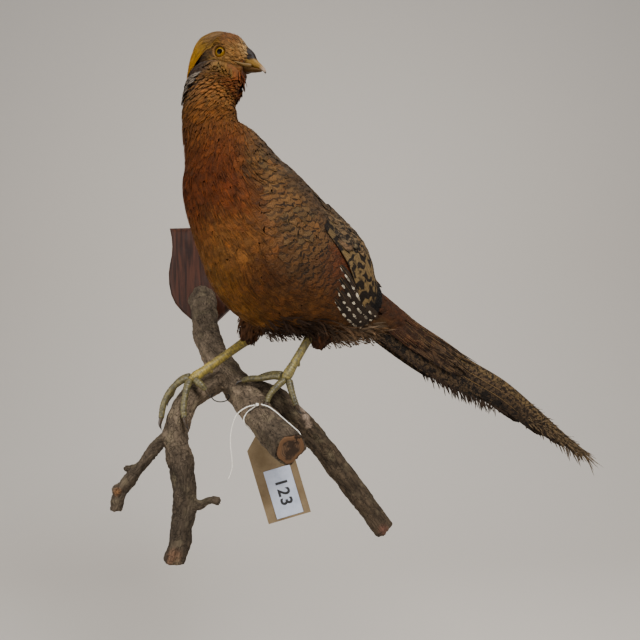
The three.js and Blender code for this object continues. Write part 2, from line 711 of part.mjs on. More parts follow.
const tag = new THREE.Group();
tag.position.set(...TAG_AT);
tag.rotation.set(Math.PI / 2, 0, TAG_TURN);
group.add(tag);

function tagCard() {
  const half = TAG_WIDTH / 2;
  const top = TAG_LENGTH / 2;
  const clipped = 11;
  const shape = new THREE.Shape();
  shape.moveTo(-half, -top);
  shape.lineTo(half, -top);
  shape.lineTo(half, top - clipped);
  shape.lineTo(half - clipped, top);
  shape.lineTo(clipped - half, top);
  shape.lineTo(-half, top - clipped);
  shape.closePath();
  const hole = new THREE.Path();
  hole.absarc(0, top - 8, 2.4, 0, TURN, true);
  shape.holes.push(hole);
  return new THREE.ExtrudeGeometry(shape, { depth: TAG_THICK, bevelEnabled: false, curveSegments: 8 });
}

function plain(parent, name, geometry, material) {
  const mesh = new THREE.Mesh(geometry, material);
  mesh.name = name;
  parent.add(mesh);
}

plain(tag, 'tag_card', tagCard(), card);
const sticker = new THREE.BoxGeometry(LABEL_WIDTH, LABEL_LENGTH, 0.5);
sticker.translate(1.3, -15.7, TAG_THICK + GAP + 0.25);
plain(tag, 'tag_label', sticker, label);

// ---------- string ----------

// A loop of string holds the tag on the branch, with a knot on top and one loose end.
const onBranch = (n, turned, lift) => mainBranch.point(n, degrees(turned), lift).toArray();
const KNOT_AT = onBranch(6.6, -25, 2);
const KNOT_RADIUS = 1.6;
const TAG_HOLE_AT = [102.2, -212.8, -171.2];
const LOOP_ROUTE = [
  onBranch(6.58, -32, 1.4), onBranch(6.52, -48, 1.2), onBranch(6.46, -70, 1.2),
  onBranch(6.47, -98, 1.2), onBranch(6.55, -130, 1.5), [100.4, -209.6, -167],
  TAG_HOLE_AT, [104, -216.3, -168.6], onBranch(7, 168, 2.6), onBranch(7.4, 135, 2.2),
  onBranch(7.65, 105, 1.3), onBranch(7.68, 75, 1.3), onBranch(7.52, 48, 1.3),
  onBranch(7.28, 30, 1.3), onBranch(7.02, 16, 1.3), onBranch(6.8, 2, 1.3), onBranch(6.66, -14, 1.6),
];
const STRING_END_ROUTE = [
  KNOT_AT, [86.4, -224, -136], [80.1, -224, -139.5], [75.8, -223, -143.8], [72.2, -222, -151.9],
  [69.7, -221, -163.5], [69.3, -220, -172.5], [69.8, -219, -181.6], [70, -218, -191.1],
  [68, -217, -198.7], [65.3, -216, -204.4],
];

function cordSolid(route, steps, sides) {
  const section = new THREE.Shape();
  for (let i = 0; i < sides; i += 1) {
    const a = (i / sides) * TURN;
    const x = STRING_RADIUS * Math.cos(a);
    const y = STRING_RADIUS * Math.sin(a);
    if (i === 0) section.moveTo(x, y);
    else section.lineTo(x, y);
  }
  section.closePath();
  const extrudePath = new THREE.CatmullRomCurve3(route.map(vec));
  return solidFrom(new THREE.ExtrudeGeometry(section, { steps, extrudePath, bevelEnabled: false }));
}

const knotSpace = sphere(vec(KNOT_AT), KNOT_RADIUS + GAP, 8, 6);
add('string_knot', sphere(vec(KNOT_AT), KNOT_RADIUS, 8, 6), cotton);
add('string_loop', cordSolid(LOOP_ROUTE, 34, 5).subtract(knotSpace), cotton);
add('string_end', cordSolid(STRING_END_ROUTE, 25, 8).subtract(knotSpace), cotton);

export default group;
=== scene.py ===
"""The looks of a mounted golden pheasant: skin, plumage, eyes, bill, legs, branch, shield and tag.

Lengths in the station tables are millimetres, and MM turns them into metres. A place on the bird
is a station number n along a loft and an angle round it: 0 is the back and 180 degrees the belly.
"""

import math

import bpy
import numpy as np
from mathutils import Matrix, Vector
from mathutils.bvhtree import BVHTree


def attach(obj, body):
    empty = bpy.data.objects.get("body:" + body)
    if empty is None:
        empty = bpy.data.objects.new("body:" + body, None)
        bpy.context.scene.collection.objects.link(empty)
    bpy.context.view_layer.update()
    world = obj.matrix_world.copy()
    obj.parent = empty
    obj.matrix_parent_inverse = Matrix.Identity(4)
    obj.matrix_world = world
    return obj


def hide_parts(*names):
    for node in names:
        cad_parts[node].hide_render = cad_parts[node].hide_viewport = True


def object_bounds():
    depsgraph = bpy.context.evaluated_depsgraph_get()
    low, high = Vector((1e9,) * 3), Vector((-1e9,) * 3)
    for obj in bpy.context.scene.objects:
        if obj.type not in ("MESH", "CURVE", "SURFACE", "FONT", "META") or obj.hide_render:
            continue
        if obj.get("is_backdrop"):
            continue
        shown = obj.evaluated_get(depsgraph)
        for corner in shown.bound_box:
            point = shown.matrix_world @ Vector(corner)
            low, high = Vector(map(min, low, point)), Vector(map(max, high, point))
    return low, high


bl_info = {
    "name": "Mounted Golden Pheasant",
    "version": (1, 0, 0),
    "blender": (4, 5, 0),
    "location": "3D View > Sidebar > Pheasant",
    "description": "Builds a stuffed golden pheasant on its branch and wall shield",
    "category": "Object",
}

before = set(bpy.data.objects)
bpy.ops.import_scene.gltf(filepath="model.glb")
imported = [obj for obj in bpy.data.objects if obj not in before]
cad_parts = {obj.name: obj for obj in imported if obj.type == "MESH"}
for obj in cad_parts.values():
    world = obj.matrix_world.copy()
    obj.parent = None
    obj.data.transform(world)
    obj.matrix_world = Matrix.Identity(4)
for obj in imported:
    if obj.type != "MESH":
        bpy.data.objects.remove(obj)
CAD_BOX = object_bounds()
BODY = "root"
MM = 0.001
TURN = 2 * math.pi


# ----- lofts and surfaces -----

def unit(v):
    """Each row of v divided by its length."""
    return v / np.maximum(np.linalg.norm(v, axis=-1, keepdims=True), 1e-12)


def dot(a, b):
    """The dot product of matching rows, kept as a column."""
    return np.sum(a * b, axis=-1, keepdims=True)


def spline(points, n, uneven=True):
    """A Catmull-Rom curve through the rows of points, at station numbers n.

    Each piece is the cubic x1 + w t1 + w^2 (3 dx - 2 t1 - t2) + w^3 (t1 + t2 - 2 dx), where the
    slopes t1 and t2 weigh the chords by the square root of their lengths when uneven is true,
    and are half the chord between the neighbours when it is not.
    """
    points = np.asarray(points, float)
    n = np.clip(np.asarray(n, float), 0, len(points) - 1)
    k = np.minimum(n.astype(int), len(points) - 2)
    w = (n - k)[..., None]
    padded = np.vstack([2 * points[0] - points[1], points, 2 * points[-1] - points[-2]])
    x0, x1, x2, x3 = (padded[k + i] for i in range(4))
    if uneven:
        d0, d1, d2 = (np.maximum(dot(b - a, b - a), 1e-12) ** 0.25
                      for a, b in ((x0, x1), (x1, x2), (x2, x3)))
        t1 = ((x1 - x0) / d0 - (x2 - x0) / (d0 + d1) + (x2 - x1) / d1) * d1
        t2 = ((x2 - x1) / d1 - (x3 - x1) / (d1 + d2) + (x3 - x2) / d2) * d1
    else:
        t1, t2 = (x2 - x0) / 2, (x3 - x1) / 2
    rise = x2 - x1
    return x1 + w * (t1 + w * (3 * rise - 2 * t1 - t2 + w * (t1 + t2 - 2 * rise)))


def runs_of(points):
    """The distance along a line of points, at each of them."""
    steps = np.linalg.norm(np.diff(points, axis=0), axis=1)
    return np.concatenate([[0], np.cumsum(steps)])


def ring(count):
    """Evenly spaced angles round a ring, as a row."""
    return np.arange(count)[None] / count * TURN


def pair(first, second):
    """Two values for each place of a grid, such as a map's two numbers."""
    return np.stack(np.broadcast_arrays(first, second), -1)


def folded(angle):
    """The angle from the back to either side, 0 to pi."""
    return np.abs((angle + math.pi) % TURN - math.pi)


class Loft:
    """A round-sectioned body through stations (at, side, top, under, up), in millimetres.

    wave makes the section uneven, as bark is: sin(3 a + 2.1 n) + sin(5 a - 3.3 n), as a part of
    the radius.
    """

    def __init__(self, *stations, wave=0):
        self.wave = wave
        facing, rows = (0, 0, 1), []
        for at, side, *rest in stations:
            facing = rest.pop() if rest and isinstance(rest[-1], tuple) else facing
            top = rest[0] if rest else side
            under = rest[1] if len(rest) > 1 else top
            rows.append((at, (side, top, under), facing))
        self.at, self.sizes, self.ups = (np.array(column, float) for column in zip(*rows))
        self.count = len(rows) - 1
        steps = np.linspace(0, self.count, 60 * self.count + 1)
        line = spline(self.at, steps)
        self.steps, self.line, self.run = steps, line, runs_of(line)

    def frame(self, n):
        """Centre, tangent, up, left and sizes at n: up has its part along the tangent removed."""
        n = np.asarray(n, float)
        small = 1e-3
        ahead = spline(self.at, np.minimum(n + small, self.count))
        tangent = unit(ahead - spline(self.at, np.maximum(n - small, 0)))
        up = spline(self.ups, n, False)
        up = unit(up - dot(up, tangent) * tangent)
        return spline(self.at, n), tangent, up, np.cross(up, tangent), spline(self.sizes, n, False)

    def point(self, n, angle, grow=0):
        """centre + up cos(a) (half height + grow) + left sin(a) (half width + grow)."""
        n, angle, grow = np.broadcast_arrays(np.asarray(n, float), angle, grow)
        centre, _, up, left, size = self.frame(n)
        c, s, g = np.cos(angle)[..., None], np.sin(angle)[..., None], grow[..., None]
        half = np.where(c > 0, size[..., 1:2], size[..., 2:3])
        uneven = 1 + self.wave * (np.sin(3 * angle + n * 2.1) + np.sin(5 * angle - n * 3.3))
        uneven = uneven[..., None]
        return centre + up * c * (half * uneven + g) + left * s * (size[..., 0:1] * uneven + g)

    def run_at(self, n):
        """The distance along the centre line at a station number."""
        return np.interp(n, self.steps, self.run)

    def station_at(self, run):
        """The station number at a distance along the centre line."""
        return np.interp(run, self.run, self.steps)

    def place_of(self, points):
        """The nearest station and the angle round it for each of the points."""
        n = np.empty(len(points))
        for chunk in range(0, len(points), 4096):
            part = points[chunk:chunk + 4096]
            gap = np.sum((part[:, None] - self.line[None, ::6]) ** 2, axis=-1)
            n[chunk:chunk + 4096] = self.steps[::6][np.argmin(gap, axis=1)]
        centre, _, up, left, _ = self.frame(n)
        away = points - centre
        return n, np.arctan2(dot(away, left)[:, 0], dot(away, up)[:, 0])


def grid_faces(rows, columns, closed=True):
    """Corner numbers of the quads of a grid; closed joins its last column to its first."""
    i = np.arange(rows - 1)[:, None]
    j = np.arange(columns if closed else columns - 1)[None]
    k = (j + 1) % columns
    quads = [i * columns + j, i * columns + k, (i + 1) * columns + k, (i + 1) * columns + j]
    return np.stack(np.broadcast_arrays(*quads), axis=-1).reshape(-1, 4)


def placed(name, data):
    """A new object of the data, in the scene."""
    thing = bpy.data.objects.new(name, data)
    bpy.context.collection.objects.link(thing)
    return thing


def make_mesh(name, points, corners, starts, maps=None, colours=None):
    """A mesh object from points in millimetres, the faces' corners and where each face starts."""
    mesh = bpy.data.meshes.new(name)
    corners = np.asarray(corners, np.int32).ravel()
    mesh.vertices.add(len(points))
    mesh.vertices.foreach_set("co", (np.asarray(points, float) * MM).ravel().astype(np.float32))
    mesh.loops.add(len(corners))
    mesh.loops.foreach_set("vertex_index", corners)
    mesh.polygons.add(len(starts))
    mesh.polygons.foreach_set("loop_start", np.asarray(starts, np.int32))
    mesh.update(calc_edges=True)
    for label, values in (maps or {}).items():
        layer = mesh.uv_layers.new(name=label)
        layer.uv.foreach_set("vector", np.asarray(values, np.float32)[corners].ravel())
    for label, values in (colours or {}).items():
        layer = mesh.color_attributes.new(label, "FLOAT_COLOR", "POINT")
        layer.data.foreach_set("color", np.asarray(values, np.float32).ravel())
    mesh.shade_smooth()
    return placed(name, mesh)


def quad_mesh(name, points, quads):
    """A mesh whose faces all have four corners."""
    return make_mesh(name, points, quads, np.arange(len(quads)) * 4)


def closed_tube(name, rings, maps=None):
    """A closed surface from rings of points (rows, columns, 3), with a pole at each end.

    maps hold a UV for each ring point; a pole takes the mean of its ring.
    """
    rows, columns, _ = rings.shape

    def with_poles(values):
        flat = values.reshape(rows * columns, -1)
        return np.vstack([flat, values[0].mean(axis=0), values[-1].mean(axis=0)])

    quads = grid_faces(rows, columns)
    j = np.arange(columns)
    k = (j + 1) % columns
    pole, base = np.full(columns, rows * columns), (rows - 1) * columns
    ends = np.stack([pole, k, j], 1), np.stack([pole + 1, base + j, base + k], 1)
    corners = np.concatenate([quads.ravel(), ends[0].ravel(), ends[1].ravel()])
    starts = np.concatenate(
        [np.arange(len(quads)) * 4, len(quads) * 4 + np.arange(2 * columns) * 3])
    piece = make_mesh(
        name, with_poles(rings), corners, starts,
        {label: with_poles(values) for label, values in (maps or {}).items()})
    face_outwards(piece)
    return piece


def face_outwards(piece):
    """Turns every face round if the closed mesh's signed volume is negative."""
    mesh = piece.data
    mesh.calc_loop_triangles()
    count = len(mesh.loop_triangles)
    corners = np.empty(count * 3, np.int32)
    mesh.loop_triangles.foreach_get("vertices", corners)
    a, b, c = mesh_points(piece)[corners.reshape(-1, 3)].transpose(1, 0, 2)
    if np.sum(a * np.cross(b, c)) < 0:
        mesh.flip_normals()


def vertex_values(piece, key):
    """Three numbers for each of the piece's vertices, such as its normal."""
    values = np.empty(len(piece.data.vertices) * 3, np.float32)
    piece.data.vertices.foreach_get(key, values)
    return values.reshape(-1, 3).astype(float)


def mesh_points(piece):
    """The piece's vertices in millimetres."""
    return vertex_values(piece, "co") / MM


def set_points(piece, points):
    """Moves the piece's vertices to points, in millimetres."""
    piece.data.vertices.foreach_set("co", (points * MM).ravel().astype(np.float32))
    piece.data.update()


def finish_piece(piece, material, slot, *nodes):
    """Gives a piece its finish and its body, and hides the nodes it stands for."""
    piece.data.materials.clear()
    piece.data.materials.append(material)
    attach(piece, BODY)
    if nodes:
        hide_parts(*nodes)
    return piece


def waves(points, size, seed, count=18):
    """Smooth noise about -1 to 1: the mean of sines along random directions, size mm long."""
    rng = np.random.default_rng(seed)
    ways = unit(rng.normal(size=(count, 3))) * (TURN / size) * rng.uniform(0.6, 1.7, (count, 1))
    return np.sum(np.sin(points @ ways.T + rng.uniform(0, TURN, count)), axis=-1) / math.sqrt(count)


# ----- finishes -----

# kinds of node with their modes: SUM is a b + c, STEP a smooth step of a value from low to high,
# MIX an amount and the colours at 0 and 1, TINT a colour times a level
SUM, TIMES, SINE, ABS = "Math MULTIPLY_ADD", "Math MULTIPLY", "Math SINE", "Math ABSOLUTE"
STEP, MIX, TINT, NOISE = "MapRange SMOOTHSTEP", "Mix RGBA", "VectorMath SCALE", "TexNoise"
MODE_NAMES = {"Math": "operation", "VectorMath": "operation", "Mix": "data_type",
              "MapRange": "interpolation_type"}
PER_MM = 1000.0                     # noise scale for features one millimetre across


def linear(hex_colour):
    """Linear RGBA of an sRGB hex value: x / 12.92 up to 0.04045, else ((x + 0.055) / 1.055)^2.4."""
    srgb = np.array([int(hex_colour[i:i + 2], 16) for i in (1, 3, 5)]) / 255
    value = np.where(srgb <= 0.04045, srgb / 12.92, ((srgb + 0.055) / 1.055) ** 2.4)
    return (*(float(x) for x in value), 1.0)


class Finish:
    """A material with one Principled shader, whose inputs are given by name."""

    def __init__(self, name, **words):
        self.material = bpy.data.materials.new(name)
        self.material.use_nodes = True
        self.tree = self.material.node_tree
        self.shader = self.tree.nodes["Principled BSDF"]
        self.fill(self.shader, (), words)
        self.place = self.add("TexCoord", output="Object")

    def fill(self, node, values, words):
        """Fills inputs in order and by name: a socket is linked, a value or hex colour is set."""
        pairs = list(zip((socket for socket in node.inputs if socket.enabled), values))
        pairs += [(node.inputs[word.replace("_", " ")], value) for word, value in words.items()]
        for socket, value in pairs:
            if isinstance(value, bpy.types.NodeSocket):
                self.tree.links.new(value, socket)
            else:
                socket.default_value = linear(value) if isinstance(value, str) else value

    def add(self, kind, *values, output=None, **words):
        """Adds a node and gives its first output, or the one named.

        Values fill its inputs in order. A word with a capital names an input, and any other word
        is a setting.
        """
        kind, *modes = kind.split()
        node = self.tree.nodes.new("ShaderNode" + kind)
        for mode in modes:
            setattr(node, MODE_NAMES[kind], mode)
        for word in [word for word in words if word.islower()]:
            setattr(node, word, words.pop(word))
        self.fill(node, values, words)
        return node.outputs[output] if output else next(s for s in node.outputs if s.enabled)

    def chart(self, name):
        """The numbers of one of the piece's own UV maps."""
        return self.add("SeparateXYZ", self.add("UVMap", uv_map=name)).node.outputs

    def layers(self, colour, *rows):
        """Lays tones over a colour, each where its value steps from a low to a high edge."""
        for value, edges, tone in rows:
            colour = self.add(MIX, self.add(STEP, value, *edges), colour, tone)
        return colour

    def done(self, colour, height=None, depth_mm=0, strength=0.6):
        """Links the colour, and the height as relief of that depth, and gives the material."""
        self.fill(self.shader, (), {"Base_Color": colour})
        if height is not None:
            relief = self.add("Bump", Height=height, Strength=strength, Distance=depth_mm * MM)
            self.fill(self.shader, (), {"Normal": relief})
        return self.material


def feather_finish(name, dark, bar_mm=5.5, blotch_mm=6, spots=None, tip=None, rough=0.72,
                   arch=0.8):
    """Feather keratin: barbs lie in fine slanting lines, so it is soft, matt and streaked.

    The ground colour and the strength of each marking come from the piece's attributes: Marks
    holds bars, dark rim, shaft streak and blotches. The Vane map runs along and across a feather
    and the Lie map along the body in centimetres.
    """
    f = Finish(name, Roughness=rough, Specular_IOR_Level=0.12)
    ground = f.add("Attribute", attribute_name="Ground")
    marks = f.add("Attribute", attribute_name="Marks", output="Vector")
    bars, rims, streaks = f.add("SeparateXYZ", marks).node.outputs
    along, across, _ = f.chart("Vane")
    body_cm, shift, _ = f.chart("Lie")
    side = f.add(ABS, f.add(SUM, across, 2, -1))
    cloud = f.add(NOISE, f.place, PER_MM / 4, 3.0)

    # barbs, drawn about 1 mm apart, coarser than real ones, so that they show
    slope = f.add(SUM, side, 2.6, f.add(SUM, along, 9, f.add(TIMES, cloud, 2.4)))
    barbs = f.add(SINE, f.add(TIMES, slope, TURN))

    # bars: arcs across the feather, a little uneven
    bend = f.add(SUM, f.add(TIMES, side, side), arch, f.add(SUM, cloud, 0.5, shift))
    phase = f.add(SUM, body_cm, 10 / bar_mm, bend)
    bar = f.add(STEP, f.add(SINE, f.add(TIMES, phase, TURN)), 0.3, 0.72)
    rim = f.add("Math MAXIMUM", f.add(TIMES, side, 0.94), along)
    rim = f.add(STEP, f.add(SUM, cloud, 0.2, rim), 0.9, 1.06)
    streak = f.add(STEP, side, 0.34, 0.06)
    blotch = f.add(NOISE, f.place, PER_MM / blotch_mm, 2.0, Distortion=0.6)
    blotch = f.add(STEP, blotch, 0.47, 0.56)

    level = f.add("MapRange", barbs, -1, 1, 0.84, 1.14)
    level = f.add(TIMES, level, f.add(STEP, along, 0, 0.5, 0.7, 1))
    colour = f.add(TINT, ground, f.add(TIMES, level, ground.node.outputs["Alpha"]))
    for mask, weight in (
            (bar, bars), (blotch, marks.node.outputs["Alpha"]), (rim, rims), (streak, streaks)):
        amount = f.add(TIMES, mask, weight, use_clamp=True)
        colour = f.add(MIX, amount, colour, dark)
    if spots:
        # pale oval spots along the outer web, and smaller ones on the inner web
        count, pale = spots
        way = f.add(SUM, along, count, f.add(SUM, cloud, 1.3, shift))
        way = f.add(SUM, f.add("Math FRACT", way), 3, -1.5)
        out = f.add("MapRange", across, 0.7, 1.02, -1, 1, clamp=False)
        far = f.add(SUM, way, way, f.add(TIMES, out, out))
        seen = f.add(TIMES, f.add(STEP, far, 0.85, 0.5), f.add(STEP, cloud, 0.4, 0.55, 0.25, 1))
        colour = f.add(MIX, seen, colour, pale)
    if tip:
        colour = f.layers(colour, (f.add(SUM, cloud, 0.06, along), tip, dark))
    return f.done(colour, f.add(SUM, cloud, 1.5, barbs), 0.35, 0.45)


def eye_finish(name):
    """Cast glass: clear and wet-looking, with the painted iris showing through its dome."""
    f = Finish(name, Roughness=0.06, IOR=1.5, Specular_IOR_Level=0.06)
    polar, turned, _ = f.chart("Globe")
    turned = f.add(TIMES, turned, TURN)
    ring = f.add(
        "CombineXYZ", f.add(SINE, turned), f.add("Math COSINE", turned), f.add(TIMES, polar, 1.2))
    rays = f.add(NOISE, ring, 6, 4)
    out = f.add(SUM, rays, 0.012, polar)
    amber = f.layers(
        "#6e520e", (out, (0.16, 0.28), "#5a380c"), (rays, (0.45, 0.62, 0, 0.4), "#5e3c08"))
    return f.done(f.layers("#050302", (out, (0.13, 0.142), amber), (out, (0.275, 0.3), "#140b05")))


def skin_finish(name):
    """Dried skin with down on it: matt and broken up, darker than the feathers over it."""
    f = Finish(name, Roughness=0.9, Specular_IOR_Level=0.2, Sheen_Weight=0.1)
    fluff = f.add(NOISE, f.place, PER_MM / 1.6, 4.0)
    level = f.add(STEP, fluff, 0.3, 0.7, 0.6, 1)
    return f.done(f.add(TINT, f.add("Attribute", attribute_name="Ground"), level), fluff, 0.6)


def mottled_finish(name, grain_mm, edges, tones, detail=4, depth_mm=None, twist=0, **words):
    """Two tones of one stuff, parted where noise of that grain passes between the edges."""
    f = Finish(name, **words)
    grain = f.add(NOISE, f.place, PER_MM / grain_mm, detail, Distortion=twist)
    colour = f.layers(tones[0], (grain, edges, tones[1]))
    return f.done(colour, grain if depth_mm else None, depth_mm)


def bill_finish(name, side="#6c501c"):
    """Horn: smooth and waxy, yellow along the sides, slaty at the base and grey at the hook."""
    f = Finish(name, Roughness=0.5, Specular_IOR_Level=0.12, Subsurface_Weight=0.06,
               Subsurface_Scale=0.002)
    along, turned, _ = f.chart("Grain")
    cloud = f.add(NOISE, f.place, PER_MM / 2.2, 4.0)
    along = f.add(SUM, cloud, 0.1, along)
    top = f.add("Math COSINE", f.add(TIMES, turned, TURN))
    # the dark base reaches forward along the ridge and stops above the cutting edge
    base = f.add(SUM, top, 0.14, f.add(STEP, top, -0.5, -0.15, -0.1, 0.4))
    colour = f.layers(
        "#120b08", (f.add("Math SUBTRACT", along, base), (0, 0.12), side),
        (along, (0.74, 0.95), "#8a7664"), (along, (0.99, 1.06), "#5a544c"),
        (f.add(NOISE, f.place, PER_MM / 1.1, 3.0), (0.5, 0.75, 0.0, 0.35), "#4a3418"))
    return f.done(colour, cloud, 0.2, 0.35)


def leg_finish(name, light, dark, edge):
    """Leg scutes: hard, slightly glossy plates about 2.2 mm apart, with dirt in the seams."""
    f = Finish(name, Roughness=0.48, Specular_IOR_Level=0.45)
    along_cm, turned, _ = f.chart("Grain")
    cloud = f.add(NOISE, f.place, PER_MM / 3, 4.0)
    seam = f.add(ABS, f.add(SINE, f.add(TIMES, along_cm, math.pi * 10 / 2.2)))
    under = f.add("Math COSINE", f.add(TIMES, turned, TURN))
    colour = f.layers(
        dark, (cloud, (0.35, 0.65), light), (seam, (0.3, 0.05, 0, 0.6), edge),
        (under, (-0.2, -0.9, 0, 0.6), "#5c5230"))
    height = f.add(SUM, cloud, 0.5, f.add("Math MINIMUM", seam, 0.5))
    return f.done(colour, height, 0.35)


def claw_finish(name):
    """Claw horn: dark, dense and polished along its length."""
    f = Finish(name, Roughness=0.3)
    along, *_ = f.chart("Grain")
    cloud = f.add(NOISE, f.place, PER_MM / 1.6, 3.0)
    colour = f.layers("#3a2c1c", (f.add(SUM, cloud, 0.4, along), (0.3, 1.1), "#15100c"))
    return f.done(colour, cloud, 0.1, 0.4)


def bark_finish(name):
    """Dry weathered bark: dead matt, grey-brown, with fissures and pale worn ridges."""
    f = Finish(name, Roughness=0.93, Specular_IOR_Level=0.15)
    tint = f.add("Attribute", attribute_name="Ground")
    grain = f.add("UVMap", uv_map="Grain")
    # each noise is drawn out along the grain: size in mm, detail, distortion, squeeze
    strips, fine, fissure = (
        f.add(NOISE, f.add("Mapping", Vector=grain, Scale=(squeeze, 1.0, 1.0)), PER_MM / size,
              detail, Distortion=twist)
        for size, detail, twist, squeeze in ((6, 5, 0.5, 0.35), (1.6, 4, 0.2, 0.5),
                                             (9, 3, 0.8, 0.4)))
    cloud = f.add(NOISE, f.place, PER_MM / 14, 4.0)
    level = f.add(TIMES, f.add(STEP, strips, 0.34, 0.62, 0.7, 1.15),
                  f.add(STEP, fine, 0.25, 0.75, 0.7, 1.25))
    # cracks: where two noises pass their middle value
    cross = f.add(NOISE, f.place, PER_MM / 7, 3.0, Distortion=0.6)
    away, cross = (f.add(ABS, f.add("Math SUBTRACT", noise, 0.5)) for noise in (fissure, cross))
    crack = f.add("Math MINIMUM", f.add(TIMES, away, 1.8), cross)
    colour = f.layers(
        f.add(TINT, tint, level), (cloud, (0.5, 0.72, 0, 0.35), "#6a5f48"),
        (crack, (0.02, 0.004, 0, 0.75), "#17110b"))
    height = f.add(SUM, strips, 0.6, f.add(STEP, crack, 0, 0.06))
    return f.done(colour, f.add(SUM, fine, 0.35, height), 0.9, 0.7)


def sawn_finish(name):
    """Sawn end grain: matt and fibrous, with growth rings about 1.6 mm apart and a crack."""
    f = Finish(name, Roughness=0.85, Specular_IOR_Level=0.2)
    rim, turned, _ = f.chart("Rings")
    cloud = f.add(NOISE, f.place, PER_MM / 5, 4.0)
    ring = f.add(SINE, f.add(TIMES, f.add(SUM, cloud, 0.16, rim), TURN * 8))
    stain = f.add(NOISE, f.place, PER_MM / 11, 2.0)
    crack = f.add(SINE, f.add(SUM, cloud, 2, f.add(TIMES, turned, TURN)))
    # the newer wood under the bark is paler than the heart
    sap = f.add(SUM, cloud, 0.3, rim), (0.8, 0.98, 0, 0.8), "#5e422a"
    colour = f.layers(
        "#3d2c1c", (ring, (-0.6, 0.8), "#5a4330"), (stain, (0.44, 0.53), "#2c1f14"), sap,
        (crack, (0.97, 0.995), "#241609"))
    return f.done(colour, ring, 0.2, 0.4)


def oak_finish(name):
    """Dark-stained, varnished oak: long open grain, mellow gloss and paler rubbed patches."""
    f = Finish(name, Roughness=0.45, Specular_IOR_Level=0.12, Coat_Weight=0.05, Coat_Roughness=0.3)
    # both noises are drawn out up the shield: size in mm, detail, distortion, squeeze
    grain, pores = (
        f.add(NOISE, f.add("Mapping", Vector=f.place, Scale=(1.0, 1.0, squeeze)), PER_MM / size,
              detail, Distortion=twist)
        for size, detail, twist, squeeze in ((5, 6, 0.5, 0.07), (0.9, 3, 0, 0.05)))
    wear_and_shade = f.add(NOISE, f.place, PER_MM / 30, 3.0)
    colour = f.layers(
        "#1e0e07", (grain, (0.35, 0.65), "#3e2114"), (pores, (0.6, 0.72, 0, 0.7), "#150a06"),
        (wear_and_shade, (0.5, 0.75, 0, 0.35), "#3a2b26"))
    return f.done(colour, f.add(SUM, pores, -0.6, grain), 0.3, 0.4)


def card_finish(name, light, dark, blotch_mm):
    """Manila card and paper: matt fibres, foxed in blotches."""
    f = Finish(name, Roughness=0.88, Specular_IOR_Level=0.25)
    fibres = f.add(NOISE, f.place, PER_MM / 0.8, 5.0)
    stain = f.add(NOISE, f.place, PER_MM / blotch_mm, 4.0)
    colour = f.layers(light, (stain, (0.35, 0.7), dark), (fibres, (0.45, 0.7, 0, 0.3), dark))
    return f.done(colour, fibres, 0.08, 0.5)


def wall_finish(name, tone):
    """Matt emulsion paint: even and pale, with the faintest roller texture."""
    f = Finish(name, Roughness=0.95, Specular_IOR_Level=0.1)
    roller = f.add(NOISE, f.place, PER_MM / 6, 3.0)
    warm = (*(x * 0.96 for x in linear(tone)[:3]), 1)
    return f.done(f.add(MIX, roller, tone, warm), roller, 0.15, 0.3)


# ----- feathers -----

def vane_parts(rows, columns):
    """A closed feather on a grid: s along, t across, its corners and its face starts.

    The top is rows by columns faces. The underside is one strip between the two long edges, and
    a face closes each end, so the feather's camber is its thickness.
    """
    s, t = np.meshgrid(np.linspace(0, 1, rows + 1), np.linspace(-1, 1, columns + 1), indexing="ij")
    across = columns + 1
    top = grid_faces(rows + 1, across, closed=False)[:, ::-1]
    i = np.arange(rows) * across
    under = np.stack([i, i + across, i + across + columns, i + columns], 1)[:, ::-1]
    ends = [np.arange(across), rows * across + np.arange(across)[::-1]]
    corners = np.concatenate([top.ravel(), under.ravel(), *ends])
    quads = len(top) + rows
    starts = np.concatenate([np.arange(quads) * 4, [4 * quads, 4 * quads + across]])
    return s.ravel(), t.ravel(), corners, starts


TIP_SHAPES = {
    "round": lambda s: 1.12 * np.clip(s + 0.03, 0, 1) ** 0.42 * (1 - s ** 5) ** 0.5 + 0.05,
    "long": lambda s: 1.05 * np.clip(s + 0.02, 0, 1) ** 0.25 * (1 - s ** 9) ** 0.5 + 0.03,
    "wisp": lambda s: 1.3 * np.clip(s + 0.05, 0, 1) ** 0.3 * (1 - s) ** 0.6 + 0.05,
}


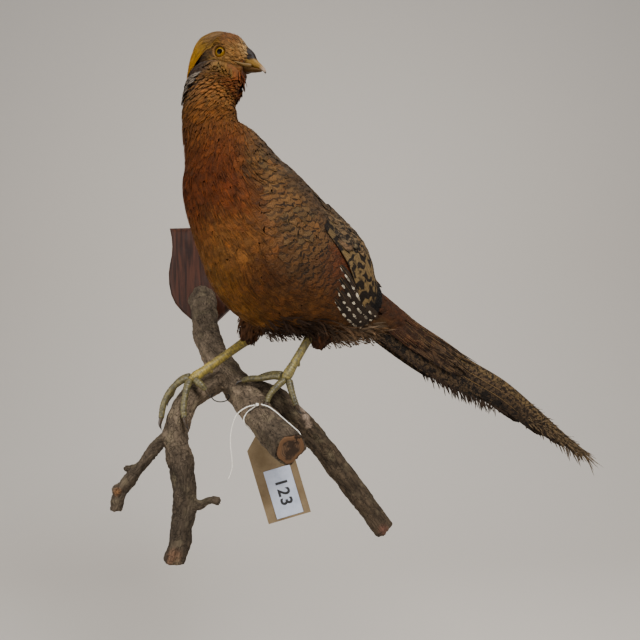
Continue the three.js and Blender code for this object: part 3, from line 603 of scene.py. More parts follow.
class Coat:
    """Feathers rooted on a surface and laid along it.

    A feather's own point (s, t) is s times its length from the root and t times its half width
    to the side, turned by its slant, and it stands `height` out of the surface. way is -1 where
    feathers lie towards lower stations and 1 where they lie towards higher ones.
    """

    def __init__(self, surface, n, angle, way=-1):
        self.surface, self.n, self.angle, self.way = surface, n, angle, way

    def __len__(self):
        return len(self.n)

    def keep(self, mask):
        return Coat(self.surface, self.n[mask], self.angle[mask], self.way)

    def halves(self):
        """Its left and its right half, with their names."""
        left = np.sin(self.angle) >= 0
        return ("left", self.keep(left)), ("right", self.keep(~left))

    def below(self, stations, degrees):
        """Which roots lie lower down the side than a limit that passes through the stations."""
        return folded(self.angle) > np.radians(np.interp(self.n, stations, degrees))

    def roots(self):
        return self.surface.point(self.n, self.angle)

    def walk(self, length, slant, rows):
        """The middle of every feather in equal steps along the surface, and the pace there.

        A step of d mm at a slant t moves the station by d cos t / (mm a station) and the angle by
        d sin t / (mm a radian), both measured on the surface where the step starts.
        """
        surface, small = self.surface, 0.01
        n, angle, track = self.n, self.angle, []
        for _ in range(rows + 1):
            at = np.clip(n, small, surface.count - small)

            def pace(dn, da):
                gap = surface.point(at + dn, angle + da) - surface.point(at - dn, angle - da)
                return np.maximum(np.linalg.norm(gap, axis=-1) / (2 * small), 2)

            middle = (surface.run_at(at + small) - surface.run_at(at - small)) / (2 * small)
            along, around = np.maximum(pace(small, 0), 0.4 * middle), pace(0, small)
            track.append((n, angle, along, around))
            n = n + self.way * length / rows * np.cos(slant) / along
            angle = angle + length / rows * np.sin(slant) / around
        return (np.stack(column, 1) for column in zip(*track))

    def lay(self, name, finish, rng, look, length, half, rows=5, columns=4, shape="round",
            low=-2, high=0.6, camber=0.35, slant=0, fray=0.1, lift=0):
        """Makes the piece. Sizes may be one number or one a feather; look is (ground, marks).

        finish holds the material, the slot and the names of the nodes it stands for.

        Half width follows the tip shape; height goes from low at the root to high at the tip,
        with the camber's arch over it and lift times s squared at the tip.
        """
        surface, count = self.surface, len(self)
        length, half, low, high, slant, lift = (
            np.broadcast_to(np.asarray(value, float), (count,))
            for value in (length, half, low, high, slant, lift))
        track = self.walk(length, slant, rows)
        n, angle, along, around = (np.repeat(column, columns + 1, axis=1) for column in track)
        length, half, low, high, slant, lift = (
            value[:, None] for value in (length, half, low, high, slant, lift))
        s, t, corners, starts = vane_parts(rows, columns)
        shape_at = TIP_SHAPES[shape](s)
        wobble = rng.normal(0, 1, (count, len(s)))
        ahead = length * s ** 4 * fray * wobble
        width = half * shape_at * t * (1 + 0.6 * fray * wobble)
        n = n + self.way * (ahead * np.cos(slant) - width * np.sin(slant)) / along
        angle = angle + (width * np.cos(slant) + ahead * np.sin(slant)) / around
        arch = camber * half * (1 - t ** 2) * shape_at
        height = low + (high - low) * s ** 0.7 + arch + lift * s ** 2
        inside = np.clip(n, 0, surface.count)
        points = surface.point(inside, angle, height)
        for end, inward, past in ((0, 0.01, np.minimum(n, 0)),
                                  (surface.count, -0.01, np.clip(n - surface.count, 0, 0.5))):
            edge = np.full_like(self.angle, end)
            slope = (surface.point(edge + inward, self.angle) -
                     surface.point(edge, self.angle)) / inward
            points += past[..., None] * slope[:, None]
        reach = length * s
        run = surface.run_at(self.n)[:, None]
        n0, a0 = self.n[:, None], self.angle[:, None]
        lie = np.stack([(run - self.way * reach) / 10,
                        np.broadcast_to(rng.uniform(0, 0.08, (count, 1)), n.shape)], -1)
        chart = np.stack([n0 / surface.count, (a0 / TURN) % 1], -1) * 0.99
        patch = 0.003 * np.stack([s, t * 0.5 + 0.5], -1)
        step = np.arange(count)[:, None]
        piece = make_mesh(
            name, points.reshape(-1, 3), corners[None] + step * len(s),
            (starts[None] + step * len(corners)).ravel(),
            maps={"OFBake": (chart + patch[None]).reshape(-1, 2),
                  "Vane": np.tile(np.stack([s, t * 0.5 + 0.5], -1), (count, 1)),
                  "Lie": lie.reshape(-1, 2)},
            colours={key: np.repeat(value, len(s), axis=0)
                     for key, value in zip(("Ground", "Marks"), look)})
        piece.data.set_sharp_from_angle(angle=math.radians(80))
        finish_piece(piece, *finish)


def rooted(surface, first, last, along, across, rng, way=-1):
    """Feather roots in staggered rows, `along` mm apart, and `across` mm apart in each row."""
    start, stop = surface.run_at(first), surface.run_at(last)
    stations, angles = [], []
    around = np.linspace(0, TURN, 97)
    for row, run in enumerate(np.arange(start, stop, along)):
        n = surface.station_at(run)
        round_it = surface.point(np.full(97, n), around)
        walk = runs_of(round_it)
        count = max(3, int(walk[-1] / across))
        spots = (np.arange(count) + 0.5 * (row % 2) + rng.uniform(-0.2, 0.2, count)) / count
        angles.append(np.interp((spots % 1) * walk[-1], walk, around))
        stations.append(surface.station_at(run + along * rng.uniform(-0.3, 0.3, count)))
    return Coat(surface, np.concatenate(stations), np.concatenate(angles), way)


class Zones:
    """Colour and markings over a surface, from the regions of the plumage.

    Each row is station, angle from the back in degrees, reach along, reach round, ground colour,
    and the weights of bars, dark rim, shaft streak and blotches. A place takes the mean of the
    rows, each weighed by exp(-(dn / reach)^2 - (da / reach)^2).
    """

    def __init__(self, *rows):
        self.places = np.array([row[:4] for row in rows], float)
        self.looks = np.array([[*linear(row[4])[:3], *row[5:9]] for row in rows])

    def at(self, n, angle):
        """Ground colour (3) and the four markings for each place."""
        fold = np.degrees(folded(angle))
        station, turned, reach, spread = self.places.T
        far = ((n[:, None] - station) / reach) ** 2 + ((fold[:, None] - turned) / spread) ** 2
        weight = np.exp(-np.minimum(far, 60)) + 1e-12
        return weight @ self.looks / weight.sum(axis=1, keepdims=True)

    def look(self, coat, rng, vary=0.16):
        """(Ground, Marks) for each feather, with its own tone in Ground's alpha."""
        values = self.at(coat.n, coat.angle)
        tone = np.exp(np.minimum(rng.normal(0, vary, (len(coat.n), 1)), 1.5 * vary))
        warmth = rng.normal(0, 0.06, (len(coat.n), 1)) * np.array([[1, 0, -1.2]])
        ground = np.concatenate([values[:, :3] * (1 + warmth), tone], axis=1)
        marks = np.clip(values[:, 3:] * rng.uniform(0.75, 1.2, (len(coat.n), 4)), 0, 1)
        return ground, marks


# ----- forms, as the frame's solids have them -----

BODY_UP = (0.434, 0.496, 0.75)
SPINE = Loft(
    ((224.8, -147, -60.6), 19.5, 19.5, BODY_UP),
    ((202.9, -155, -51.6), 27, 27.5),
    ((181.6, -165, -41.9), 40, 39, 42),
    ((155, -177, -20), 52, 58.5, 61.5),
    ((118.6, -193, 4.1), 58, 68.5, 74),
    ((99.7, -206, 33), 55, 62.5, 67.5),
    ((83.2, -220, 62.2), 47, 52, 54, (0.6, 0.5, 0.6)),
    ((73.6, -232, 87.3), 37.9, 37.9, 41, (0.77, 0.64, 0.2)),
    ((63.9, -240, 110.4), 25.5, (0.26, 0.97, 0)),
    ((63.1, -242, 127.1), 22.5, 23, (-0.5, 0.87, 0)),
    ((64.2, -241, 139), 20.5, 23, (-0.85, 0.5, 0)),
    ((67.8, -238, 150.2), 18.5, 25.2, (-0.985, 0.17, 0)),
    ((69.9, -237, 159.2), 17, 25),
    ((70.5, -236, 167.6), 14, 21.5),
)

HEAD_AT = np.array((77, -236.2, 173.3))       # between the eyes
FORWARD = unit(np.array((0.942, -0.166, -0.292)))
HEAD_UP = unit(np.array((0, 0, 1)) - FORWARD[2] * FORWARD)
HEAD_LEFT = np.cross(HEAD_UP, FORWARD)
EYE_OUT = 9.3                       # an eye's centre from the middle of the head


def in_head(ahead, above, left=0):
    """A place by its distances ahead of the eyes, above them and to the bird's left."""
    ahead, above, left = (np.asarray(v, float)[..., None] for v in (ahead, above, left))
    return HEAD_AT + ahead * FORWARD + above * HEAD_UP + left * HEAD_LEFT


def head_loft(*rows):
    """A loft whose stations are [ahead, above, side, top, under] in the head's own frame."""
    return Loft(
        *((tuple(in_head(ahead, above)), *sizes, tuple(HEAD_UP)) for ahead, above, *sizes in rows))


SKULL = head_loft(
    (-27, -2, 4, 4), (-24.6, -2, 9.5, 10.5, 12), (-20, -1.5, 13.5, 15.6, 17),
    (-13, 0, 16, 18.6, 20), (-4, 1, 16.6, 20.6, 22), (4, 1.5, 16, 20.8, 24),
    (10.5, 2.5, 13.6, 19.2, 25), (16, 3.2, 10.6, 14, 25), (20.5, 3.6, 7.4, 9, 21),
    (23, 3, 4.6, 4.6, 13))
UPPER_BILL = head_loft(
    (13, 5.5, 7, 9.5, 9.9), (18, 5, 6, 8.8, 8.7), (21, 4.4, 5.3, 7.4, 7.5), (25, 2.6, 4.5, 5.3),
    (29, 1.1, 3.7, 3.4), (33, -0.1, 2.8, 2.3), (36.5, -1.7, 1.9, 1.7, 1.6), (39, -4, 0.8, 0.8))
LOWER_BILL = head_loft(
    (12, -5.2, 6.2, 1.4, 2.6), (18, -4.6, 5.2, 1.2, 2.6), (24, -3.6, 4, 1, 2.6),
    (29, -3.2, 3.1, 1, 2.1), (33, -3.1, 2.1, 0.8, 1.2), (35, -3.2, 1.1, 0.5, 0.6))

BARK_WAVE = 0.05
MAIN_BRANCH = Loft(
    ((-8, 6, -18), 16.8), ((-1.5, -14, -29), 16.6), ((7.3, -48, -52.4), 15.6),
    ((21.3, -85, -80.3), 15), ((45.1, -130, -106.6), 15.4), ((68.1, -165, -126.6), 15),
    ((86.3, -195, -140.4), 14), ((107, -230, -153.6), 13.8), ((127.2, -265, -164.7), 14.4),
    wave=BARK_WAVE)
LEFT_BRANCH = Loft(
    ((56, -146, -117), 9), ((46, -164, -121), 11.2), ((27.8, -200, -131.2), 11),
    ((18.1, -215, -157.4), 11), ((24.6, -221, -190.1), 10.8), ((27.6, -227, -227.8), 10.2),
    ((19.6, -236, -269.5), 9), wave=BARK_WAVE)
RIGHT_BRANCH = Loft(
    ((66, -160, -123), 10), ((82.6, -166, -129.9), 12), ((100.2, -178, -134.7), 12.6),
    ((116.7, -187, -144.4), 12.2), ((143.8, -198, -170), 10.8), ((175, -208, -207.4), 10.2),
    ((208.6, -220, -254), 9.2), wave=BARK_WAVE)
LEFT_TWIG = Loft(
    ((17, -212, -156), 4.5), ((3.9, -218, -168.3), 5.2), ((-13.2, -228, -188.8), 5),
    ((-28.5, -234, -210.6), 5.2), ((-30.6, -236, -222.3), 4.6), wave=BARK_WAVE)
TWIG_SPUR = Loft(((-14, -228, -187.5), 3), ((-25.5, -226, -188.7), 2.6))
TWIG_STUB = Loft(((-22, -232.5, -204), 4), ((-32.8, -233.5, -205.6), 4.4))
SMALL_TWIG = Loft(
    ((29, -226, -222), 4.5), ((41.8, -228, -222.3), 4.2), ((50.5, -230, -218.2), 3.4),
    ((60.4, -232, -218.1), 3.6))

THIGHS = {
    "right": Loft(((110, -191, -30), 25), ((96.3, -186, -50.3), 18.8),
                  ((86, -182.5, -64), 12.9), ((81.8, -181.5, -73.5), 8.5)),
    "left": Loft(((172.5, -181, -34), 27), ((162.5, -183, -54.5), 26),
                 ((155.5, -185.5, -71), 16.5), ((152.4, -186, -82), 7)),
}
SHANKS = {"right": ((81.2, -182, -76.8), (33.9, -207, -110.4)),
          "left": ((154.4, -186, -58), (121.1, -203, -111.8))}
TOES = {
    "right": {
        "middle": ((28, -208, -111), (23.5, -210, -112), (14, -213, -120), (8, -217, -132.6),
                   (6.4, -220.5, -145)),
        "inner": ((30.5, -211, -113), (29.6, -216.5, -118), (28.6, -221, -127),
                  (28.2, -224.5, -136.7), (29.2, -226, -143.8)),
        "outer": ((28, -202, -109.8), (20.4, -196, -112), (11.5, -191, -118.4), (6.4, -190, -129)),
        "hind": ((36.5, -210, -112.6), (41.4, -212.5, -116), (45.8, -211, -121)),
    },
    "left": {
        "middle": ((114.5, -202, -111.8), (108.9, -200, -111.4), (96.8, -196, -113.5),
                   (84.2, -190, -114.4), (77, -186, -116.6)),
        "outer": ((118.4, -206, -115), (112.4, -210.5, -120), (106.5, -214, -126.3),
                  (103, -216, -133.6)),
        "inner": ((115.5, -198, -110.5), (107.5, -191.5, -110.5), (99.5, -185, -112),
                  (93, -180, -114.6)),
        "hind": ((123.6, -204.5, -116.5), (125.4, -209, -123), (127.6, -211.5, -130.2),
                 (130, -212.5, -137.4)),
    },
}
# the middle and the tip of each claw; its root is its toe's last point
CLAWS = {
    "right": {
        "middle": ((5.8, -222.5, -150.5), (7.5, -223, -156)),
        "inner": ((31, -226.5, -150.4), (32.6, -225, -156)),
        "outer": ((3.8, -192.5, -134.6), (5, -196, -139)),
        "hind": ((48.4, -210, -125.5), (49.5, -208, -130)),
    },
    "left": {
        "middle": ((72.6, -185.5, -117.8), (69, -187, -121)),
        "outer": ((102.2, -218, -138.2), (103, -218.6, -143.6)),
        "inner": ((89.2, -178, -114.6), (86, -176.6, -116.2)),
        "hind": ((132.4, -213, -142.6), (135.4, -212, -147)),
    },
}
SIDES = {"left": 1, "right": -1}


class Crest:
    """The fall of the crest: n goes from the crown down the nape, `angle` across from -1 to 1."""

    path = in_head(*np.array([(3, 21.8), (-8.5, 21.4), (-17, 17.8), (-26, 9.4), (-29.2, -3),
                              (-29.2, -17), (-27.5, -31)]).T)
    count = len(path) - 1
    length = 62

    def point(self, n, w, grow=0):
        """An arch round the path: (17 + grow) sin t to the left and 20 (1 - cos t) inwards.

        t is w times the crest's reach round the head, which is widest behind the crown and
        narrows to the tip: 38 degrees, 84 at station 2.2, then down to 18.
        """
        n, w, grow = np.broadcast_arrays(np.asarray(n, float), w, grow)
        centre = spline(self.path, n)
        along = unit(spline(self.path, np.minimum(n + 0.01, self.count)) -
                     spline(self.path, np.maximum(n - 0.01, 0)))
        outward = unit(np.cross(HEAD_LEFT, along))
        reach = np.radians(
            np.interp(n, (0, 1, 2.2, 3.4, 4.4, 5.3, 6), (38, 70, 84, 82, 68, 48, 18)))
        side = (17 + grow) * np.sin(w * reach)
        rise = 0.6 - 20 * (1 - np.cos(w * reach)) + grow
        return centre + side[..., None] * HEAD_LEFT + rise[..., None] * outward

    def run_at(self, n):
        return np.asarray(n) * self.length / self.count


TAIL_LINE = np.array([
    (203, -158, -44), (215.9, -152, -53), (234, -146, -67.3), (268, -136, -91.7),
    (309.3, -125, -119.6), (352.8, -113, -146.4), (392.8, -101, -180), (431.6, -91, -215),
    (457.4, -86, -236)], float)
TAIL_UP = np.array((0.53, 0.1, 0.84))
TAIL_HALF, TAIL_DEEP = 13, 31   # the arch's half breadth and its height


class TailSide:
    """One side of the tail's arch: n from its root to its tip in parts, `angle` from the ridge.

    The arch is half an ellipse: half (sin a) out and deep (0.5 - (1 - cos a)) up.
    """

    count = 1.0

    def __init__(self, side):
        self.side = side
        fine = spline(TAIL_LINE, np.linspace(0, len(TAIL_LINE) - 1, 500))
        self.fine, self.runs = fine, runs_of(fine)
        self.length = self.runs[-1]

    def line(self, n):
        run = np.clip(n, 0, 1) * self.length
        return np.stack([np.interp(run, self.runs, column) for column in self.fine.T], -1)

    def point(self, n, around, grow=0):
        n, around, grow = np.broadcast_arrays(np.asarray(n, float), around, grow)
        tangent = unit(self.line(n + 0.01) - self.line(n - 0.01))
        up = unit(TAIL_UP - dot(np.broadcast_to(TAIL_UP, tangent.shape), tangent) * tangent)
        left = np.cross(tangent, up)
        a = around * math.pi / 2
        out = self.side * ((TAIL_HALF + grow) * np.sin(a) + 1.2)
        rise = TAIL_DEEP * (np.cos(a) - 0.5) + grow
        return self.line(n) + out[..., None] * left + rise[..., None] * up

    def run_at(self, n):
        return np.asarray(n) * self.length


def degrees_of(points, u):
    """A smooth curve through angles at the stations 0, 1, 2 ..., read at u, in radians."""
    return np.radians(spline(np.array([(i, a) for i, a in enumerate(points)], float), u)[..., 1])


WING_FRONT, WING_BACK = 5.35, 0.4
WING_LOW, WING_HIGH = (44, 62, 76, 92, 102, 116), (30, 8, 4, 6, 22, 74)


def wing_reach(n):
    """How far back on the wing a station is, 0 to 1, and the angles of the wing's edges there."""
    u = (WING_FRONT - n) / (WING_FRONT - WING_BACK)
    return u, degrees_of(WING_HIGH, 5 * u), degrees_of(WING_LOW, 5 * u)


def on_wing(coat, side, margin=0):
    """Which roots lie under the folded wing of a side."""
    turned = (coat.angle + math.pi) % TURN - math.pi
    u, high, low = wing_reach(coat.n)
    a = turned * side
    return (u > 0) & (u < 1) & (a > high + margin) & (a < low - margin)


# ----- markings -----

# station, angle, reach along, reach round, ground, then bars, rim, shaft streak and blotches
BODY_ZONES = Zones(
    # mantle, back and rump
    (6.6, 20, 1.6, 40, "#40301f", 0.55, 0.2, 0, 0.35),
    (6.8, 80, 0.5, 18, "#553c1c", 0.8, 0.05, 0, 0.15),
    (4.6, 10, 1.6, 40, "#3c2c1c", 0.35, 0.35, 0, 0.4),
    (2.8, 0, 1.2, 45, "#3c2210", 0.3, 0.2, 0, 0.4),
    (1, 0, 1, 55, "#3c200c", 0.1, 0.1, 0.3, 0.35),
    (0.6, 95, 0.9, 40, "#381e0d", 0.1, 0.1, 0.3, 0.45),
    # flanks: buff with wavy dark bars
    (6, 96, 0.7, 18, "#553a1b", 0.9, 0.05, 0, 0.1),
    (5, 104, 0.9, 19, "#523a1f", 0.95, 0.05, 0, 0.1),
    (3.9, 108, 0.8, 20, "#3e2712", 0.95, 0.05, 0, 0.15),
    (3, 114, 0.6, 22, "#3c200c", 0.8, 0.1, 0, 0.25),
    (3.35, 94, 0.5, 13, "#4c1f09", 0.1, 0.1, 0, 0.2),
    # breast: dark chestnut
    (8.2, 150, 0.9, 60, "#532c06", 0.05, 0.05, 0, 0.2),
    (7.2, 145, 0.8, 45, "#4c1f02", 0, 0.05, 0, 0.25),
    (6.4, 160, 0.8, 40, "#4e2303", 0, 0.05, 0, 0.25),
    (6.3, 122, 0.7, 20, "#522405", 0.1, 0.05, 0, 0.25),
    # belly: golden buff turning brown
    (5.6, 150, 0.6, 25, "#70481c", 0, 0.05, 0.1, 0.2),
    (4.7, 142, 0.9, 26, "#3a1c04", 0.05, 0.05, 0.1, 0.2),
    (4.4, 175, 1, 22, "#66400f", 0.05, 0.05, 0.1, 0.25),
    (3.5, 138, 0.6, 20, "#4c2c0c", 0.1, 0.05, 0, 0.3),
    (3.3, 172, 0.8, 25, "#46280c", 0.05, 0.05, 0, 0.35),
    (2, 150, 0.8, 40, "#4c3016", 0.05, 0.05, 0, 0.35),
    (0.8, 165, 0.8, 40, "#4a3218", 0.05, 0.05, 0, 0.3),
    # neck: rows of small golden-brown feathers with dark edges
    (8.6, 60, 0.8, 60, "#5a3c18", 0.05, 0.1, 0, 0.2),
    (9.8, 60, 0.9, 60, "#553818", 0.05, 0.12, 0, 0.1),
    (9.6, 170, 0.9, 50, "#70461a", 0, 0.1, 0, 0.2),
    (11.2, 170, 1.2, 60, "#64390f", 0, 0.1, 0, 0.3),
    (11.5, 30, 1.4, 60, "#4a3824", 0, 0.1, 0.2, 0.2),
    (11.3, 75, 0.4, 30, "#3a2b1e", 0, 0.1, 0.2, 0.2),
)
HEAD_ZONES = Zones(
    (1, 0, 1.6, 60, "#7c4a0a", 0, 0.1, 0.3, 0.1),
    (3.8, 0, 1.2, 42, "#40200a", 0, 0.05, 0.2, 0.15),
    (6, 0, 1, 45, "#6e4622", 0, 0.1, 0.5, 0.4),
    (7.8, 0, 0.8, 60, "#a07c4c", 0, 0.1, 0.6, 0.5),
    (3.6, 62, 0.8, 20, "#5c3e0a", 0, 0.1, 0.2, 0.1),
    (2, 100, 0.9, 34, "#2c2018", 0.1, 0.1, 0.3, 0.15),
    (3.2, 118, 0.7, 20, "#342618", 0.1, 0.1, 0.3, 0.1),
    (4.6, 114, 0.8, 16, "#644820", 0, 0.05, 0.2, 0.05),
    (5.6, 140, 0.8, 18, "#4c3008", 0, 0.1, 0.2, 0.1),
    (6.8, 100, 0.9, 26, "#785428", 0, 0.05, 0.4, 0.15),
    (7.4, 160, 0.9, 40, "#5c2c08", 0, 0.1, 0.2, 0.2),
    (4.6, 175, 1.4, 30, "#62360e", 0, 0.1, 0.1, 0.35),
)
THIGH_ZONES = Zones(
    (0.5, 90, 1.5, 90, "#4c2e14", 0, 0.05, 0, 0.35),
    (2.5, 90, 1.2, 90, "#382012", 0, 0.05, 0, 0.4),
)
WING_ZONES = Zones(
    (5, 80, 0.8, 30, "#4c3820", 0.5, 0.3, 0, 0.6),
    (5, 30, 0.8, 30, "#3c2c1c", 0.3, 0.5, 0, 0.4),
    (4, 20, 1, 25, "#3c2c1a", 0.35, 0.5, 0, 0.45),
    (4, 62, 0.9, 18, "#5c4830", 0.5, 0.5, 0, 0.9),
    (3.25, 91, 0.6, 13, "#481f0a", 0.1, 0.2, 0, 0.2),
    (2.8, 60, 0.8, 18, "#5c4a30", 0.4, 0.5, 0, 0.95),
    (2.2, 10, 1, 22, "#432814", 0.3, 0.4, 0, 0.5),
)
VENT_ZONES = Zones(
    (0.4, 170, 0.8, 40, "#3c2c1c", 0, 0, 0.1, 0.2),
    (1.6, 170, 0.8, 40, "#66503a", 0, 0, 0.1, 0.3),
    (3, 170, 0.8, 40, "#2a1a0e", 0, 0, 0.1, 0.3),
)


# ----- stage -----

CAMERA_AT, CAMERA_ROLL = (0.15439, -0.670, -0.05876), math.radians(1.5)
SENSOR, FOCAL = 36, 36 * 490 / 640  # the picture's width and the focal length, in mm


def make_stage(sizes):
    """A pale wall far behind that curves into a pale floor, the camera and the lights."""
    # half the width, the floor below the origin, the wall behind it, its top, the floor's front
    # and the radius of the bend between them, in metres
    half, depth, back, top, reach, bend = 5, 0.75, 1.7, 4, 5, 1
    arc = np.linspace(0, math.pi / 2, 17)
    profile = np.concatenate([
        [(back, top)],
        np.stack([back - bend * (1 - np.cos(arc)), -depth + bend * (1 - np.sin(arc))], -1),
        [(-reach, -depth)]])
    x = np.linspace(-half, half, 13)
    points = np.stack(np.broadcast_arrays(x[None], profile[:, :1], profile[:, 1:]), -1)
    cove = quad_mesh(
        "studio_cove", points.reshape(-1, 3) / MM,
        grid_faces(len(profile), len(x), closed=False)[:, ::-1])
    cove.data.materials.append(wall_finish("painted wall", sizes.wall_tone))
    cove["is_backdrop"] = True

    camera = placed("camera", bpy.data.cameras.new("camera"))
    camera.data.sensor_width, camera.data.lens = SENSOR, FOCAL
    camera.data.clip_start = 0.01
    camera.location = CAMERA_AT
    camera.rotation_euler = (math.pi / 2, CAMERA_ROLL, 0)
    bpy.context.scene.camera = camera

    aim = Vector((0.14, -0.15, 0))
    for name, at, size, watts in (
            ("key", (0.75, -1.15, 0.95), 0.55, sizes.key_watts),
            ("fill", (-0.9, -1.3, 0.1), 1.2, sizes.fill_watts),
            ("top", (0.1, -0.5, 1.2), 0.9, sizes.top_watts)):
        light = bpy.data.lights.new(name, "AREA")
        light.energy, light.size = watts, size
        lamp = placed(name, light)
        lamp.location = at
        lamp.rotation_euler = (aim - Vector(at)).to_track_quat("-Z", "Y").to_euler()

    world = bpy.data.worlds.new("studio")
    bpy.context.scene.world = world
    world.use_nodes = True
    backdrop = world.node_tree.nodes["Background"]
    backdrop.inputs["Color"].default_value = linear("#dfe2e8")
    backdrop.inputs["Strength"].default_value = sizes.room_light


# ----- string -----

def on_branch(n, turned, lift):
    return tuple(MAIN_BRANCH.point(n, math.radians(turned), lift))


KNOT_AT = on_branch(6.6, -25, 2)
STRING_RADIUS, KNOT_RADIUS = 0.55, 1.6
TAG_HOLE_AT = (102.2, -212.8, -171.2)
LOOP_ROUTE = np.array([
    on_branch(6.58, -32, 1.4), on_branch(6.52, -48, 1.2), on_branch(6.46, -70, 1.2),
    on_branch(6.47, -98, 1.2), on_branch(6.55, -130, 1.5), (100.4, -209.6, -167),
    TAG_HOLE_AT, (104, -216.3, -168.6), on_branch(7, 168, 2.6), on_branch(7.4, 135, 2.2),
    on_branch(7.65, 105, 1.3), on_branch(7.68, 75, 1.3), on_branch(7.52, 48, 1.3),
    on_branch(7.28, 30, 1.3), on_branch(7.02, 16, 1.3), on_branch(6.8, 2, 1.3),
    on_branch(6.66, -14, 1.6)])
STRING_END_ROUTE = np.array([
    KNOT_AT, (86.4, -224, -136), (80.1, -224, -139.5), (75.8, -223, -143.8),
    (72.2, -222, -151.9), (69.7, -221, -163.5), (69.3, -220, -172.5), (69.8, -219, -181.6),
    (70, -218, -191.1), (68, -217, -198.7), (65.3, -216, -204.4)])


def along_path(path, rows):
    """Points a steady distance apart on a smooth curve, with frames that don't twist."""
    fine = spline(path, np.linspace(0, len(path) - 1, 400))
    runs = runs_of(fine)
    at = np.linspace(0, runs[-1], rows)
    centre = np.stack([np.interp(at, runs, column) for column in fine.T], -1)
    tangent = unit(np.gradient(centre, axis=0))
    side = np.empty_like(centre)
    side[0] = unit(np.cross(tangent[0], (0.31, 0.52, 0.79)))
    for row in range(1, rows):
        side[row] = unit(side[row - 1] - side[row - 1] @ tangent[row] * tangent[row])
    return centre, tangent, side, np.cross(tangent, side), runs[-1]


def twisted_cord(name, path, radius, pitch=2.6):
    """A cord of three plies: radius r (0.84 + 0.16 |cos 1.5 (a - turn of the lay)|)."""
    centre, _, side, other, length = along_path(path, max(12, int(8 * len(path))))
    a = ring(12)
    lay = np.linspace(0, length / pitch * TURN, len(centre))[:, None]
    r = radius * (0.84 + 0.16 * np.abs(np.cos(1.5 * (a - lay))))
    rings = (centre[:, None] + (r * np.cos(a))[..., None] * side[:, None] +
             (r * np.sin(a))[..., None] * other[:, None])
    return closed_tube(name, rings), centre, length


def make_string(sizes):
    """The tag's string: the loop through the card, the knot and the loose end."""
    # cotton: soft, off-white, with fine fibres and flecks of grime
    cotton = mottled_finish(
        "cotton string", 0.5, (0.4, 0.7), ("#e6e1d6", "#b3a894"), depth_mm=0.12, Roughness=0.92,
        Sheen_Weight=0.2)
    centre, *_ = along_path(STRING_END_ROUTE, 200)
    away = np.linalg.norm(centre - KNOT_AT, axis=1)
    free = centre[away > KNOT_RADIUS + 0.3]
    path = free[np.linspace(0, len(free) - 1, 26).astype(int)]
    cord, middle, length = twisted_cord("string_free_end", path, STRING_RADIUS)
    finish_piece(cord, cotton, "cotton_string", "string_end")
    [tuple(p * MM) for p in middle]
    loop, *_ = twisted_cord("string_loop_cord", LOOP_ROUTE, STRING_RADIUS)
    finish_piece(loop, cotton, "cotton_string", "string_loop")

    # the knot: the same cord wound on itself twice round, as a torus knot 1.2 mm in radius
    a = np.linspace(0, TURN, 41)
    wide = 0.75 + 0.42 * np.cos(3 * a)
    turns = np.array(KNOT_AT) + np.stack(
        [wide * np.cos(2 * a), 0.62 * np.sin(3 * a), wide * np.sin(2 * a)], -1)
    knot, *_ = twisted_cord("string_knot_turns", turns, 0.5, pitch=2)
    finish_piece(knot, cotton, "cotton_string", "string_knot")


# ----- skin -----

def loft_rings(loft, rows, columns, grow=0):
    """A grid of points over a loft: rows along it, columns round it."""
    return loft.point(np.linspace(0, loft.count, rows)[:, None], ring(columns), grow)


def joined(name, pieces):
    """The pieces as one object."""
    with bpy.context.temp_override(
            active_object=pieces[0], selected_editable_objects=pieces, selected_objects=pieces,
            object=pieces[0]):
        bpy.ops.object.join()
    pieces[0].name = pieces[0].data.name = name
    return pieces[0]


def remeshed(name, pieces, voxel_mm, smooth):
    """One closed mesh round all the pieces: joined, voxel remeshed and smoothed."""
    whole = joined(name, pieces)
    remesh = whole.modifiers.new("remesh", "REMESH")
    remesh.mode, remesh.voxel_size, remesh.use_smooth_shade = "VOXEL", voxel_mm * MM, True
    relax = whole.modifiers.new("relax", "SMOOTH")
    relax.factor, relax.iterations = 0.5, smooth
    rough, whole.data = whole.data, applied(whole)
    whole.modifiers.clear()
    bpy.data.meshes.remove(rough)
    whole.data.name = name
    return whole


def applied(piece):
    """A new mesh of the piece as its modifiers or its curve shape it."""
    return bpy.data.meshes.new_from_object(
        piece.evaluated_get(bpy.context.evaluated_depsgraph_get()))


def put_layers(piece, maps, ground):
    """Adds UV maps given for each face corner, and the ground colour of each vertex."""
    mesh = piece.data
    for label, values in maps.items():
        layer = mesh.uv_layers.new(name=label)
        layer.uv.foreach_set("vector", np.asarray(values, np.float32).ravel())
    rgba = np.concatenate([ground, np.ones((len(ground), 1))], axis=1)
    layer = mesh.color_attributes.new("Ground", "FLOAT_COLOR", "POINT")
    layer.data.foreach_set("color", rgba.astype(np.float32).ravel())


def nearest(lofts, points):
    """The points' places (station, angle) on each loft, and their distances from it."""
    places = [loft.place_of(points) for loft in lofts]
    gaps = [np.linalg.norm(loft.point(n, a) - points, axis=1)
            for loft, (n, a) in zip(lofts, places)]
    return places, np.stack(gaps)


def corner_chart(piece, charts, which, scale):
    """Corner UVs from each vertex's (along, turn), kept whole where a face crosses turn 1 to 0.

    Each chart fills its own strip of the square, and a face takes its first corner's chart.
    """
    mesh = piece.data
    corners = np.empty(len(mesh.loops), np.int32)
    mesh.loops.foreach_get("vertex_index", corners)
    starts, totals = (np.empty(len(mesh.polygons), np.int32) for _ in range(2))
    mesh.polygons.foreach_get("loop_start", starts)
    mesh.polygons.foreach_get("loop_total", totals)
    first = np.repeat(corners[starts], totals)
    chart = which[first]
    at, home = charts[chart, corners], charts[chart, first]
    at[:, 1] += np.round(home[:, 1] - at[:, 1])
    return np.stack([at[:, 0], (chart + 0.1 + 0.8 * at[:, 1]) / scale], -1)


SOCKET_RADIUS = 6.2                 # the skin sinks this far round each eye's axis


